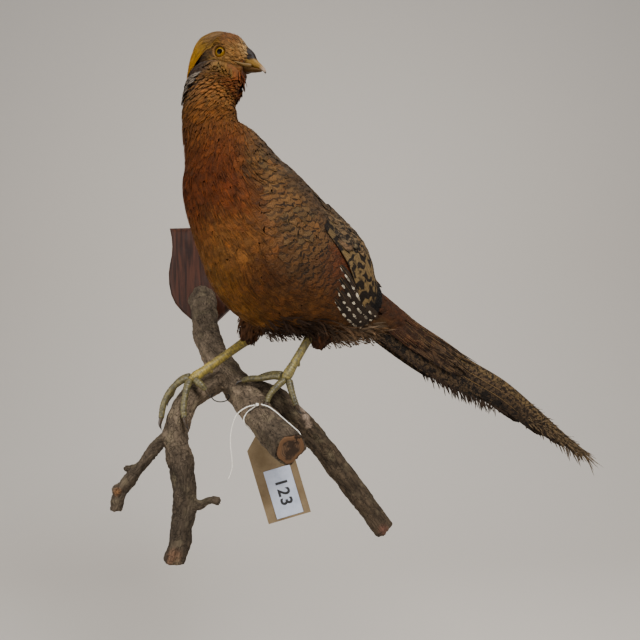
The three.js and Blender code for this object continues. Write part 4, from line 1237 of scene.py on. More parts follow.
def make_skin(sizes):
    """The bird's skin, under its plumage: one closed mesh over body, head and thighs."""
    lofts = [SPINE, SKULL, THIGHS["left"], THIGHS["right"]]
    # the coat is deepest on the trunk and thins out up the neck
    insets = (((0, 6.5, 9, 13), (sizes.coat_depth / MM,) * 2 + (1.8, 1.2)),
              ((0, 9), (1.2, 1.2)), ((0, 4), (2, 2)), ((0, 4), (2, 2)))
    parts = []
    for loft, (stations, depths) in zip(lofts, insets):
        n = np.linspace(0, loft.count, 12 * loft.count + 1)[:, None]
        parts.append(closed_tube("form", loft.point(n, ring(48), -np.interp(n, stations, depths))))
    skin = remeshed("skin", parts, 1.7, 6)
    points = mesh_points(skin)

    # each eye's socket is a cup behind the lids: 9.6 mm out, and 4.4 mm more at its rim
    for side in SIDES.values():
        away = points - HEAD_AT
        out = away @ HEAD_LEFT * side
        rho = np.hypot(away @ FORWARD, away @ HEAD_UP)
        cup = 9.6 + 4.4 * (rho / SOCKET_RADIUS) ** 2
        sunk = (rho < SOCKET_RADIUS) * np.maximum(out - cup, 0)
        points = points - sunk[:, None] * side * HEAD_LEFT
    # the bill's root: the skin stops short of the horn
    away = points - HEAD_AT
    past = np.maximum(away @ FORWARD - 19.5, 0) * (np.linalg.norm(away, axis=1) < 40)
    points = points - past[:, None] * FORWARD
    set_points(skin, points)

    places, gaps = nearest(lofts, points)
    zones = (BODY_ZONES, HEAD_ZONES, THIGH_ZONES, THIGH_ZONES)
    looks = np.stack([zone.at(n, a) for zone, (n, a) in zip(zones, places)])
    weight = 1 / (0.5 + gaps) ** 4
    colour = np.einsum("ij,ijk->jk", weight / weight.sum(axis=0), looks[..., :3])
    charts = np.stack(
        [pair(n / loft.count, a / TURN + 0.5) for loft, (n, a) in zip(lofts, places)])
    chart = corner_chart(skin, charts, np.argmin(gaps, axis=0), len(lofts))
    put_layers(skin, {"OFBake": chart}, colour)
    finish_piece(skin, skin_finish("feathered skin"), "plumage_russet",
                 "head", "neck", "trunk", "thigh_left", "thigh_right")


# ----- body plumage -----

def in_bill_or_eye(points):
    """Places that the horn of the bill, or an eye and its lids, take up."""
    away = points - HEAD_AT
    ahead, above, out = away @ FORWARD, away @ HEAD_UP, away @ HEAD_LEFT
    eye = (np.hypot(ahead, above) < 6.5) & (np.abs(out) > 6)
    # feathers reach forward over the base of the bill, and back to the gape between its halves
    horn = ahead > np.interp(above, (-11, -6.6, -4.6, -3.4, -1, 1.5), (23, 23, 13.5, 14, 20, 21.8))
    return eye | (horn & (np.linalg.norm(away, axis=-1) < 45))


def depth_in_skull(points):
    """How far points lie inside the skull's form, in millimetres; negative outside."""
    n, angle = SKULL.place_of(points)
    centre, *_ = SKULL.frame(n)
    rim = np.linalg.norm(SKULL.point(n, angle) - centre, axis=1)
    return rim - np.linalg.norm(points - centre, axis=1)


def make_body_coat(sizes):
    """Contour feathers of the trunk in four pieces, and loose barbs over breast and belly."""
    russet = feather_finish("body plumage", "#181008", bar_mm=6.2, arch=0.5), "plumage_russet"
    rng = np.random.default_rng(11)
    for part, first, last in (("front", 4.4, 7.7), ("rear", 0.1, 4.4)):
        coat = rooted(SPINE, first, last, sizes.row_gap / MM, 7, rng)
        winged = on_wing(coat, 1, 0.3) | on_wing(coat, -1, 0.3)
        # the folded quills lie over a strip low on the flank
        under_quills = ((coat.n > 1.1) & (coat.n < 3) & (folded(coat.angle) > np.radians(92)) &
                        ~coat.below((1.1, 1.65, 2.3, 3), (136, 134, 128, 122)))
        coat = coat.keep((~winged | (coat.n < 2.2)) & ~under_quills)
        for name, some in coat.halves():
            count = len(some)
            grown = 0.7 + 0.3 * np.clip((7.2 - some.n) / 2.2, 0, 1)
            some.lay(
                f"coat_{part}_{name}", russet, rng, BODY_ZONES.look(some, rng),
                sizes.feather_length / MM * grown * rng.uniform(0.85, 1.15, count),
                sizes.feather_half / MM * grown * rng.uniform(0.9, 1.1, count),
                rows=7, columns=6, low=-1.8, high=rng.uniform(0, 0.6, count), camber=0.12,
                slant=0.2 * np.sin(some.angle) + rng.normal(0, 0.08, count), fray=0.07,
                lift=rng.exponential(0.1, count))
    coat = rooted(SPINE, 2.2, 9.2, 3, 2.3, rng)
    coat = coat.keep(coat.below((2, 4, 5.6, 6.6, 9.2), (122, 126, 124, 90, 80)))
    for name, some in coat.halves():
        count = len(some)
        long = np.interp(some.n, (2, 4, 5.5, 7.6, 9.2), (24, 20, 15, 10, 7))
        some.lay(
            f"coat_barbs_{name}", russet, rng, BODY_ZONES.look(some, rng, 0.26),
            long * rng.uniform(0.7, 1.25, count), rng.uniform(0.45, 0.8, count), rows=5,
            columns=2, shape="wisp", low=-0.4, high=rng.uniform(0.7, 1.3, count), camber=0.3,
            slant=rng.normal(0, 0.18, count), fray=0.02)


def make_vent_coat(_):
    """Loose down under the vent and round the thighs, hanging a little off the body."""
    down = feather_finish("vent down", "#1a110a"), "plumage_russet"
    rng = np.random.default_rng(17)
    coat = rooted(SPINE, 0.9, 3.8, 3, 2.4, rng)
    coat = coat.keep(coat.below((1, 2, 3.8), (138, 144, 160)))
    count = len(coat)
    coat.lay(
        "coat_vent", down, rng, VENT_ZONES.look(coat, rng, 0.3), rng.uniform(15, 30, count),
        rng.uniform(0.8, 1.7, count), rows=7, columns=2, shape="wisp", low=-1.5,
        high=rng.uniform(0.6, 2.5, count), camber=0.3, slant=rng.normal(0, 0.35, count),
        fray=0.05, lift=np.minimum(rng.exponential(4.4, count), 8))


def make_neck_coat(_):
    """Small, close feathers of the neck, and the cape's broad edged ones at the nape."""
    close = feather_finish("neck plumage", "#1b120b", bar_mm=4.2, blotch_mm=5), "plumage_russet"
    rng = np.random.default_rng(12)
    coat = rooted(SPINE, 7, 11.5, 2.7, 2.8, rng)
    coat = coat.keep(~in_bill_or_eye(coat.roots()) & (depth_in_skull(coat.roots()) < -0.3))
    count = len(coat)
    small = 1 - 0.5 * np.clip((coat.n - 7) / 3.5, 0, 1)
    coat.lay(
        "coat_neck", close, rng, BODY_ZONES.look(coat, rng, 0.2),
        11 * small * rng.uniform(0.8, 1.2, count), 2.5 * small, rows=5, columns=4,
        low=-1.5, high=rng.uniform(0.1, 0.5, count) * np.clip(coat.n - 6.8, 0.1, 1), camber=0.12,
        slant=rng.normal(0, 0.14, count), fray=0.08, lift=rng.exponential(0.12, count))
    coat = rooted(SPINE, 8.2, 10.9, 4, 5.4, rng)
    coat = coat.keep(~coat.below((8.6, 9.6, 11.3), (52, 78, 84)))
    look = plain_look("#5e5346", [1, 1, 0, 0], len(coat))
    look[0][:, 3] = np.exp(rng.normal(0, 0.1, len(coat)))
    coat.lay("coat_cape", close, rng, look, 10.5, 4.6, rows=7, columns=4, low=-0.6, high=1.7,
             camber=0.2, slant=rng.normal(0, 0.05, len(coat)), fray=0.03)


def make_head_coat(_):
    """The smallest feathers, on face, crown and throat, running back from the bill."""
    fine = feather_finish("head plumage", "#20130a", bar_mm=4, blotch_mm=2.6), "plumage_mottled"
    rng = np.random.default_rng(13)
    for name, gap, wide, rise in (("coat_head", 1.9, 1.4, 0.3), ("coat_head_barbs", 1.7, 0.6, 0.8)):
        coat = rooted(SKULL, 0.5, 8.7, gap, gap, rng)
        coat = coat.keep(~in_bill_or_eye(coat.roots()))
        count = len(coat)
        away = coat.roots() - HEAD_AT
        ahead, above = away @ FORWARD, away @ HEAD_UP
        # a feather in front of an eye stops at its lid
        room = ahead - np.sqrt(np.maximum(40 - above ** 2, 0))
        room = np.where((ahead > 0) & (np.abs(above) < 6.4), np.maximum(room, 1), 99)
        face = np.clip(coat.n / 8.6, 0, 1)
        coat.lay(
            name, fine, rng, HEAD_ZONES.look(coat, rng, 0.22),
            np.minimum((8 - 4.9 * face) * rng.uniform(0.8, 1.2, count), room),
            wide * (1 - 0.4 * face), rows=4, columns=2, shape="wisp",
            low=-0.7 - 2.6 * np.clip((-above - 13) / 6, 0, 1),
            high=rise * rng.uniform(0.5, 1.1, count), camber=0.25,
            slant=rng.normal(0, 0.2, count), fray=0.05, lift=rng.exponential(0.12, count))
    # the same feathers run on down from the head to the neck, fuller in the beard
    coat = rooted(SPINE, 10.7, 12.8, 1.8, 1.9, rng)
    coat = coat.keep(~in_bill_or_eye(coat.roots()) &
                     (depth_in_skull(coat.roots()) < rng.uniform(-0.5, 3, len(coat))))
    count = len(coat)
    beard = np.clip((folded(coat.angle) - 1.2) / 0.9, 0, 1)
    places = Coat(SKULL, *SKULL.place_of(coat.roots()))
    coat.lay(
        "coat_throat", fine, rng, HEAD_ZONES.look(places, rng, 0.25),
        (6.5 + 3.5 * beard) * rng.uniform(0.8, 1.2, count), 1.3, rows=5, columns=2, shape="wisp",
        low=-1.2 - 1.8 * beard, camber=0.25, high=0.3 + beard * rng.uniform(0.4, 1.1, count) *
        np.interp(coat.n, (11.2, 12, 12.8), (0.6, 1.2, 3.4)),
        slant=rng.normal(0, 0.2, count), fray=0.05, lift=rng.exponential(0.12, count))


def make_thigh_coat(_):
    """Loose downy feathers on the thighs, lying down the leg."""
    down = feather_finish("thigh plumage", "#140c07"), "plumage_russet"
    for side, seed in (("left", 14), ("right", 15)):
        rng = np.random.default_rng(seed)
        coat = rooted(THIGHS[side], 0.1, 2.9, 3.6, 3.4, rng, way=1)
        count = len(coat)
        coat.lay(
            f"coat_thigh_{side}", down, rng, THIGH_ZONES.look(coat, rng, 0.3),
            13 * rng.uniform(0.8, 1.4, count), 1.9, rows=6, columns=2, shape="wisp",
            low=-1.8, high=rng.uniform(0.2, 1.6, count), slant=rng.normal(0, 0.3, count),
            fray=0.08, lift=rng.exponential(1, count))


def make_coat(sizes):
    """The whole coat, from the trunk outwards."""
    for make_part in (
            make_body_coat, make_vent_coat, make_neck_coat, make_head_coat, make_thigh_coat):
        make_part(sizes)


# ----- head -----

# the section of an eye's lids: distance from the eye's axis, distance out from the head's middle
LID_SECTION = np.array([(4.95, 12.4), (5, 13.2), (5.15, 14.1), (5.45, 14.8), (5.85, 15.2),
                        (6.3, 15.2), (6.8, 14.8), (7.1, 13.7), (6.2, 12.4), (5.4, 12)])


def make_eyes(sizes):
    """Glass eyes, part of a sphere, and the lids: a section turned round the eye's axis."""
    glass = eye_finish("cast glass eye")
    # dried lid skin: finely wrinkled, buff and a little greasy
    lid_skin = mottled_finish(
        "dried lid skin", 0.7, (0.35, 0.65), ("#402a10", "#745022"), depth_mm=0.25, twist=1,
        Roughness=0.7, Specular_IOR_Level=0.2)
    for name, side in SIDES.items():
        axis = HEAD_LEFT * side
        a = ring(48)
        polar = (np.linspace(0.012, 0.7, 40) * math.pi)[:, None]
        spread = np.cos(a)[..., None] * FORWARD + np.sin(a)[..., None] * HEAD_UP
        rings = in_head(0, 0, side * EYE_OUT) + sizes.eye_radius / MM * (
            np.cos(polar)[..., None] * axis + np.sin(polar)[..., None] * spread)
        eye = closed_tube(f"glass_eye_{name}", rings, {"Globe": pair(polar / math.pi, a / TURN)})
        finish_piece(eye, glass, "glass_eye", f"eye_{name}")

        turn = ring(64).T
        fold = 1 + 0.012 * np.sin(9 * turn + side) + 0.01 * np.sin(23 * turn)
        # the opening is a little longer than it is tall, and pinched at its two corners
        squeeze = 1 - 0.06 * np.abs(np.sin(turn))
        rho = LID_SECTION[:, 0] * fold * squeeze
        out = LID_SECTION[:, 1] + 0.12 * np.sin(14 * turn + 2)
        spread = np.cos(turn)[..., None] * FORWARD + np.sin(turn)[..., None] * HEAD_UP
        points = HEAD_AT + rho[..., None] * spread + out[..., None] * axis
        quads = grid_faces(65, len(LID_SECTION)) % rho.size
        lid = quad_mesh(f"eyelids_{name}", points.reshape(-1, 3), quads)
        face_outwards(lid)
        finish_piece(lid, lid_skin, "plumage_mottled")


# the corner of the gape: ahead of the eyes, above them, out from the middle, radius
GAPE = ((13.2, -4.6, 11.5, 0.4), (15.5, -4.3, 10.1, 0.9), (18, -4, 8.2, 1.2),
        (20.5, -3.6, 6.5, 1.5), (23, -2.8, 4.7, 1.8), (26, -1.8, 3.2, 1.6))


def make_bill(sizes):
    """Both halves of the bill, with the nostril's slit, the cutting edge and the hooked tip."""
    a = ring(40)
    n = np.linspace(0, UPPER_BILL.count, 70)[:, None]
    # the cutting edge stands proud 128 degrees round from the ridge
    edge = 0.28 * np.exp(-((np.degrees(folded(a)) - 128) / 14) ** 2)
    rings = UPPER_BILL.point(n, a, edge)
    for side in (1, -1):
        away = rings - in_head(22.6, 5.6, side * 4.6)
        ahead, above = away @ FORWARD, away @ HEAD_UP
        near = (away @ HEAD_LEFT) * side > -3.2
        slit = np.exp(-(((ahead + 0.5 * above) / 1.9) ** 2 + ((above - 0.35 * ahead) / 0.75) ** 2))
        flap = np.exp(-((ahead / 2.8) ** 2 + ((above - 1.7) / 1.1) ** 2))
        rings = rings + ((0.3 * flap - 0.9 * slit) * near)[..., None] * side * HEAD_LEFT
    upper = closed_tube("bill_upper_horn", rings, {"Grain": pair(n / UPPER_BILL.count, a / TURN)})
    finish_piece(upper, bill_finish("bill horn"), "bill_horn", "bill_upper")
    n = np.linspace(0, LOWER_BILL.count, 50)[:, None]
    lower = closed_tube(
        "bill_lower_horn", LOWER_BILL.point(n, a),
        {"Grain": pair(0.3 + 0.4 * n / LOWER_BILL.count, a / TURN)})
    finish_piece(lower, bill_finish("lower bill horn", "#463014"), "bill_horn", "bill_lower")
    # the horn's rim runs back along the face to the corner of the gape
    gape_horn = bill_finish("gape horn", "#56401c")
    for name, side in SIDES.items():
        ahead, above, out, radius = np.array(GAPE).T
        gape = Loft(*((tuple(at), r) for at, r in zip(in_head(ahead, above, side * out), radius)))
        rim = closed_tube(
            f"gape_{name}", loft_rings(gape, 40, 40), {"Grain": np.full((40, 40, 2), (0.7, 0.25))})
        finish_piece(rim, gape_horn, "bill_horn")


def make_crest(sizes):
    """Silky strands from the crown over the back of the head and down the nape."""
    silk = feather_finish("crest plumes", "#3c2408", rough=0.6), "plumage_gold", "crest"
    rng = np.random.default_rng(16)
    count = 1500
    crest = Crest()
    layer = np.arange(count) % 5
    n = np.clip(layer * 0.85 + rng.uniform(-0.45, 0.5, count), 0.02, 4.7)
    coat = Coat(crest, n, rng.uniform(-1, 1, count), way=1)
    tones = [linear(tone)[:3] for tone in ("#5c4224", "#7a5814", "#906400", "#8a5a00", "#7a4c08")]
    gold = np.stack([np.interp(n, (0, 0.9, 2, 4, 6), column) for column in zip(*tones)], -1)
    tone = np.exp(rng.normal(0, 0.2, (count, 1)))
    marks = np.tile([0, 0, 0.2, 0], (count, 1))
    length = np.minimum(24 * rng.uniform(0.8, 1.2, count), (crest.count + 0.2 - n) * 10.3)
    coat.lay(
        "crest_plumes", silk, rng, (np.concatenate([gold, tone], axis=1), marks), length,
        rng.uniform(0.45, 0.9, count), rows=9, columns=2, shape="wisp", low=-1.4 - 0.1 * layer,
        high=rng.uniform(0, 0.9, count), camber=0.4, slant=rng.normal(0, 0.05, count), fray=0.02)


# ----- wings -----

# the long inner wing feathers: station, angle from the back, length, half width
TERTIALS = ((4.1, 38, 109, 9), (4.05, 47, 110, 9.8), (4, 56, 110, 9.8), (3.95, 65, 108, 9.8),
            (3.9, 73, 103, 9))


def wing_coat(side, n, angle):
    return Coat(SPINE, np.asarray(n, float), side * np.radians(np.asarray(angle, float)))


def plain_look(tone, marks, count):
    """The same ground and marks for every feather of a group."""
    return np.tile(linear(tone), (count, 1)), np.tile(marks, (count, 1))


def lay_shafts(name, finish, coat, length, slant, high, radius, low=1):
    """The pale shafts of long feathers, as narrow raised blades along their middles."""
    bare = plain_look("#6e5634", [0, 0, 0, 0], len(coat))
    coat.lay(name, finish, np.random.default_rng(5), bare, length * 0.97, radius, rows=40,
             columns=2, shape="wisp", low=low, high=high, camber=0.9, slant=slant, fray=0)


def make_wings(sizes):
    """Each folded wing: rows of covert feathers over long tertials and spotted quills."""
    covert = feather_finish("wing coverts", "#150f0a", bar_mm=6, blotch_mm=4.5)
    broad = feather_finish("wing tertials", "#0c0806", bar_mm=9, blotch_mm=8,
                           tip=(0.84, 0.93)), "plumage_barred"
    quill = feather_finish("spotted wing quills", "#0c0906", bar_mm=9, spots=(7, "#aca08a"))
    keratin = feather_finish("feather shafts", "#4c3a24"), "plumage_barred"
    for name, side in SIDES.items():
        rng = np.random.default_rng(20 + side)
        # quills: parallel blades, each overlapped by the one above it
        rows = np.arange(4)
        coat = wing_coat(side, 3.3 - 0.04 * rows, 96 + 8.4 * rows)
        length, high = 82 - 5 * rows, 4.8 - 0.7 * rows
        slant = side * np.radians(12 + 0.5 * rows)
        look = plain_look("#241b13", [0, 0, 0, 0.3], 4)
        look[0][:, 3] = 1.3, 0.8, 1.2, 0.8
        coat.lay(f"wing_quills_{name}", (quill, "plumage_barred", f"quills_{name}"), rng, look,
                 length, 4.5, rows=40, columns=6, shape="long", low=-1.2, high=high, camber=0.2,
                 slant=slant, fray=0.01)
        lay_shafts(f"quill_shafts_{name}", keratin, coat, length, slant, high + 0.5, 0.35, -0.7)
        # tertials: broad and blunt, buff with black blotches and a black tip
        n, angle, length, half = np.array(TERTIALS).T
        wing_coat(side, n, angle).lay(
            f"wing_tertials_{name}", broad, rng,
            plain_look("#5c492c", [0, 0.6, 0.2, 0.95], len(n)), length, half, rows=40,
            columns=8, shape="long", low=1, high=5.4 - 0.3 * np.arange(len(n)), camber=0.1,
            slant=side * np.radians(20), fray=0.012)
        # coverts and shoulder feathers over them
        coat = rooted(SPINE, 1.6, 5.6, 5.6, 7.2, rng)
        coat = coat.keep(on_wing(coat, side, -0.05))
        turned = np.degrees(folded(coat.angle))
        coat = coat.keep(
            coat.n > np.interp(turned, (20, 50, 70, 90, 110), (1.6, 2.5, 3.2, 3.7, 3.9)))
        count = len(coat)
        grown = 0.8 + 0.5 * np.clip((5.3 - coat.n) / 3.5, 0, 1)
        u, top, edge = wing_reach(coat.n)
        u = np.clip(u, 0, 1)
        v = np.clip((folded(coat.angle) - top) / (edge - top), 0, 1)
        lift = np.minimum(1, 5 * u) * np.minimum(1, 6 * v * np.where(u > 0.35, 1, 1 - v))
        coat.lay(
            f"wing_coverts_{name}", (covert, "plumage_barred", f"wing_{name}"), rng,
            WING_ZONES.look(coat, rng), 19 * grown * rng.uniform(0.9, 1.1, count), 5.8 * grown,
            rows=8, columns=6, low=-1.6 + 3 * lift,
            high=0.8 + 4 * lift + rng.uniform(0, 0.6, count), camber=0.12,
            slant=side * 0.2 + rng.normal(0, 0.08, count), fray=0.04)


# ----- tail -----

def make_tail(sizes):
    """Pairs of long mottled feathers folded in an arch, with long rusty coverts over them."""
    slot = "plumage_mottled"
    mottle = feather_finish("mottled tail feathers", "#0e0906", bar_mm=7, blotch_mm=3.4,
                            arch=-1.6), slot
    black = feather_finish("dark tail feathers", "#0a0705", bar_mm=7, blotch_mm=5), slot
    rust = feather_finish("tail coverts", "#150c06", bar_mm=9, blotch_mm=8), slot
    keratin = feather_finish("tail shafts", "#4c3a24"), slot
    for name, side in SIDES.items():
        rng = np.random.default_rng(30 + side)
        surface = TailSide(side)
        row = np.arange(4)
        reach = surface.length * np.array([1, 0.95, 0.86, 0.74]) * 0.985
        coat = Coat(surface, np.full(4, 0.015), np.array([0.24, 0.44, 0.62, 0.78]), 1)
        ground = [linear(tone) for tone in ("#544228", "#443422", "#3a2c1c", "#302315")]
        look = np.array(ground), np.tile([0.45, 0.5, 0, 0.85], (4, 1))
        high = 0.2 - 0.42 * row
        coat.lay(f"tail_feathers_{name}", (*mottle, f"tail_middle_{name}"), rng, look, reach,
                 np.array([8.4, 8.2, 8, 7.6]), rows=120, columns=8, shape="long",
                 low=0.4 - 0.5 * row, high=high, camber=0.08, fray=0.006)
        lay_shafts(f"tail_shafts_{name}", keratin, coat, reach, 0, high + 0.4, 0.4, 0.5)
        # the outer feathers are short and black, with a saw edge of stiff barbs
        row = np.arange(3)
        coat = Coat(surface, np.full(3, 0.01), np.array([0.88, 0.98, 1.05]), 1)
        coat.lay(
            f"tail_outer_{name}", (*black, f"tail_side_{name}"), rng,
            plain_look("#3a2c1c", [0.5, 0.6, 0.3, 0.9], 3),
            surface.length * np.array([0.6, 0.48, 0.36]), 6.2, rows=90, columns=6, shape="long",
            low=-0.6 - 0.4 * row, high=-0.8 - 0.4 * row, camber=0.08, fray=0.012)
        run = np.linspace(0.02, 0.62, 110)
        coat = Coat(surface, run + rng.uniform(-0.002, 0.002, 110),
                    np.interp(run, (0, 0.4, 0.62), (1.12, 1.08, 0.95)), 1)
        long = np.where((run > 0.3) & (run < 0.58), rng.uniform(5, 16, 110), 4.2)
        coat.lay(
            f"tail_barbs_{name}", black, rng, plain_look("#2c2016", [0, 0, 0, 0.3], 110), long,
            0.85, rows=6, columns=2, shape="wisp", low=-1.2, high=-0.8,
            slant=0.75 + rng.normal(0, 0.18, 110), fray=0.06, camber=0.3)
        # spiky barbs along the end of the long feathers
        run = rng.uniform(0.7, 0.985, 210)
        coat = Coat(surface, run, rng.uniform(0, 1, 210) * (1.2 - run) * 1.8, 1)
        coat.lay(
            f"tail_tip_barbs_{name}", mottle, rng, plain_look("#574630", [0, 0, 0, 0.6], 210),
            (78 * run - 50) * rng.uniform(0.5, 1.1, 210), 0.9, rows=6, columns=2, shape="wisp",
            low=-0.4, high=0.8, fray=0.03, slant=0.4 + rng.normal(0, 0.2, 210),
            lift=rng.exponential(1.3, 210))
        # coverts: long, narrow and pointed
        count = 60
        run = np.repeat(np.linspace(-0.02, 0.24, 10), 6) + rng.uniform(-0.012, 0.012, count)
        across = np.tile(np.linspace(0.06, 0.84, 6), 10) + rng.uniform(-0.07, 0.07, count)
        coat = Coat(surface, np.maximum(run, 0), across, 1)
        part = np.clip(run / 0.24, 0, 1)[:, None]
        tones = (1 - part) * linear("#3c200e")[:3] + part * linear("#403020")[:3]
        ground = np.concatenate([tones, np.exp(rng.normal(0, 0.2, (count, 1)))], axis=1)
        marks = np.tile([0.2, 0.9, 0.3, 0.4], (count, 1)) + part * (0, 0, 0, 0.5)
        length, high = rng.uniform(36, 68, count), rng.uniform(1.2, 3.2, count)
        slant = rng.normal(0.05, 0.07, count)
        coat.lay(f"tail_covert_feathers_{name}", (*rust, f"tail_coverts_{name}"), rng,
                 (ground, marks), length, 3.4, rows=14, columns=4, shape="wisp", low=0.4,
                 high=high, camber=0.25, fray=0.05, slant=slant)
        lay_shafts(f"covert_shafts_{name}", keratin, coat, length, slant, high + 0.4, 0.3, 0.9)


# ----- legs -----

def scaly_tube(name, loft, rows, scute_mm, depth):
    """A loft with scutes on its upper half: grow = depth (|sin(pi run / scute)|^0.6 - 0.6)."""
    n = np.linspace(0, loft.count, rows)[:, None]
    a = ring(20)
    run = loft.run_at(n)
    plates = np.abs(np.sin(math.pi * run / scute_mm)) ** 0.6
    front = 0.35 + 0.65 * np.clip(np.cos(a), 0, 1)
    return closed_tube(
        name, loft.point(n, a, depth * (plates - 0.6) * front),
        {"Grain": pair(run / 10 / (scute_mm / 3), a / TURN)})


def make_legs(sizes):
    """Scaly shanks with a short spur, toes with scutes, and curved claws."""
    # the left leg, under the body, has the same scutes painted darker and greyer: painted shade
    scutes = {"right": leg_finish("leg scutes", "#8f7a2c", "#5f5224", "#352c14"),
              "left": leg_finish("leg scutes in painted shade", "#7f7036", "#524a2e", "#2d2716")}
    toe_skin = leg_finish("toe scutes", "#5e542e", "#3a341e", "#1f1a10")
    horn = claw_finish("claw horn")
    for side, ends in SHANKS.items():
        heel, palm = np.array(ends)
        back = tuple(unit(np.cross(unit(palm - heel), (0.5, -0.86, 0))))

        def between(t):
            return tuple(heel + (palm - heel) * t)

        shank = Loft(
            (between(-0.04), 4.9, 5.6, back), (between(0.12), 3.9, 4.6), (between(0.45), 3.4, 4.2),
            (between(0.8), 3.7, 4.4), (between(0.95), 5, 5.2), (between(1.02), 4.3, 4.4),
            (between(1.07), 2.2, 2.4))
        root, tip = np.array(between(0.72)), np.array(between(0.74)) + (3.4, 0.4, -5.2)
        spur = Loft((tuple(root), 2.6), (tuple(root + 0.7 * (tip - root)), 2.1), (tuple(tip), 0.9))
        leg = joined(f"leg_shank_{side}", [scaly_tube("shank", shank, 90, 3.4, 0.5),
                                           closed_tube("spur", loft_rings(spur, 12, 14))])
        finish_piece(leg, scutes[side], "leg_skin", f"shank_{side}")
        for toe, points in TOES[side].items():
            count = len(points) - 1
            whole = np.array(points, float)
            rows = [(tuple(p), 3.1 * (1.12 - 0.3 * i / count) + 0.12 * math.sin(2.5 * i))
                    for i, p in enumerate(whole)]
            before = tuple(whole[0] - unit(whole[1] - whole[0]) * 1.6)
            skin = scaly_tube(f"toe_{side}_{toe}_scutes", Loft((before, 2.4), *rows), 60, 2.9, 0.6)
            finish_piece(skin, toe_skin, "leg_skin", f"toe_{side}_{toe}")
            middle, tip = CLAWS[side][toe]
            nail = Loft((points[-1], 2.1), (middle, 1.6), (tip, 0.35))
            n = np.linspace(0, 2, 24)[:, None]
            claw = closed_tube(f"claw_{side}_{toe}_horn", nail.point(n, ring(16), -0.2 * n),
                               {"Grain": pair(n / 2, ring(16) / TURN)})
            finish_piece(claw, horn, "claw_horn", f"claw_{side}_{toe}")


# ----- branch -----

# places where the bark is peeled to the wood, scarred or worn, and two dark painted shadows beside
# the peeled patch under the left foot's hind claw: (place, radius, colour)
BARK_MARKS_AND_SHADOWS = (
    ((134.8, -196, -145.2), 4.2, "#8c7866"), ((138.4, -199.6, -151.2), 4.2, "#8c7866"),
    # 120c08 and #1c1410, beside the peeled patch under the left foot's hind claw, are painted
    # shadow
    ((141.4, -203.8, -157), 4, "#84705e"), ((129.2, -196.2, -142.4), 2.8, "#120c08"),
    ((133, -196, -152), 3.4, "#1c1410"), ((-28.2, -239.2, -205.3), 3.6, "#64452a"),
    ((21.4, -244.4, -262), 7, "#5c4432"), ((206.9, -229.7, -249.2), 5, "#52382c"),
    ((212, -224, -256), 6, "#4e382c"),
)


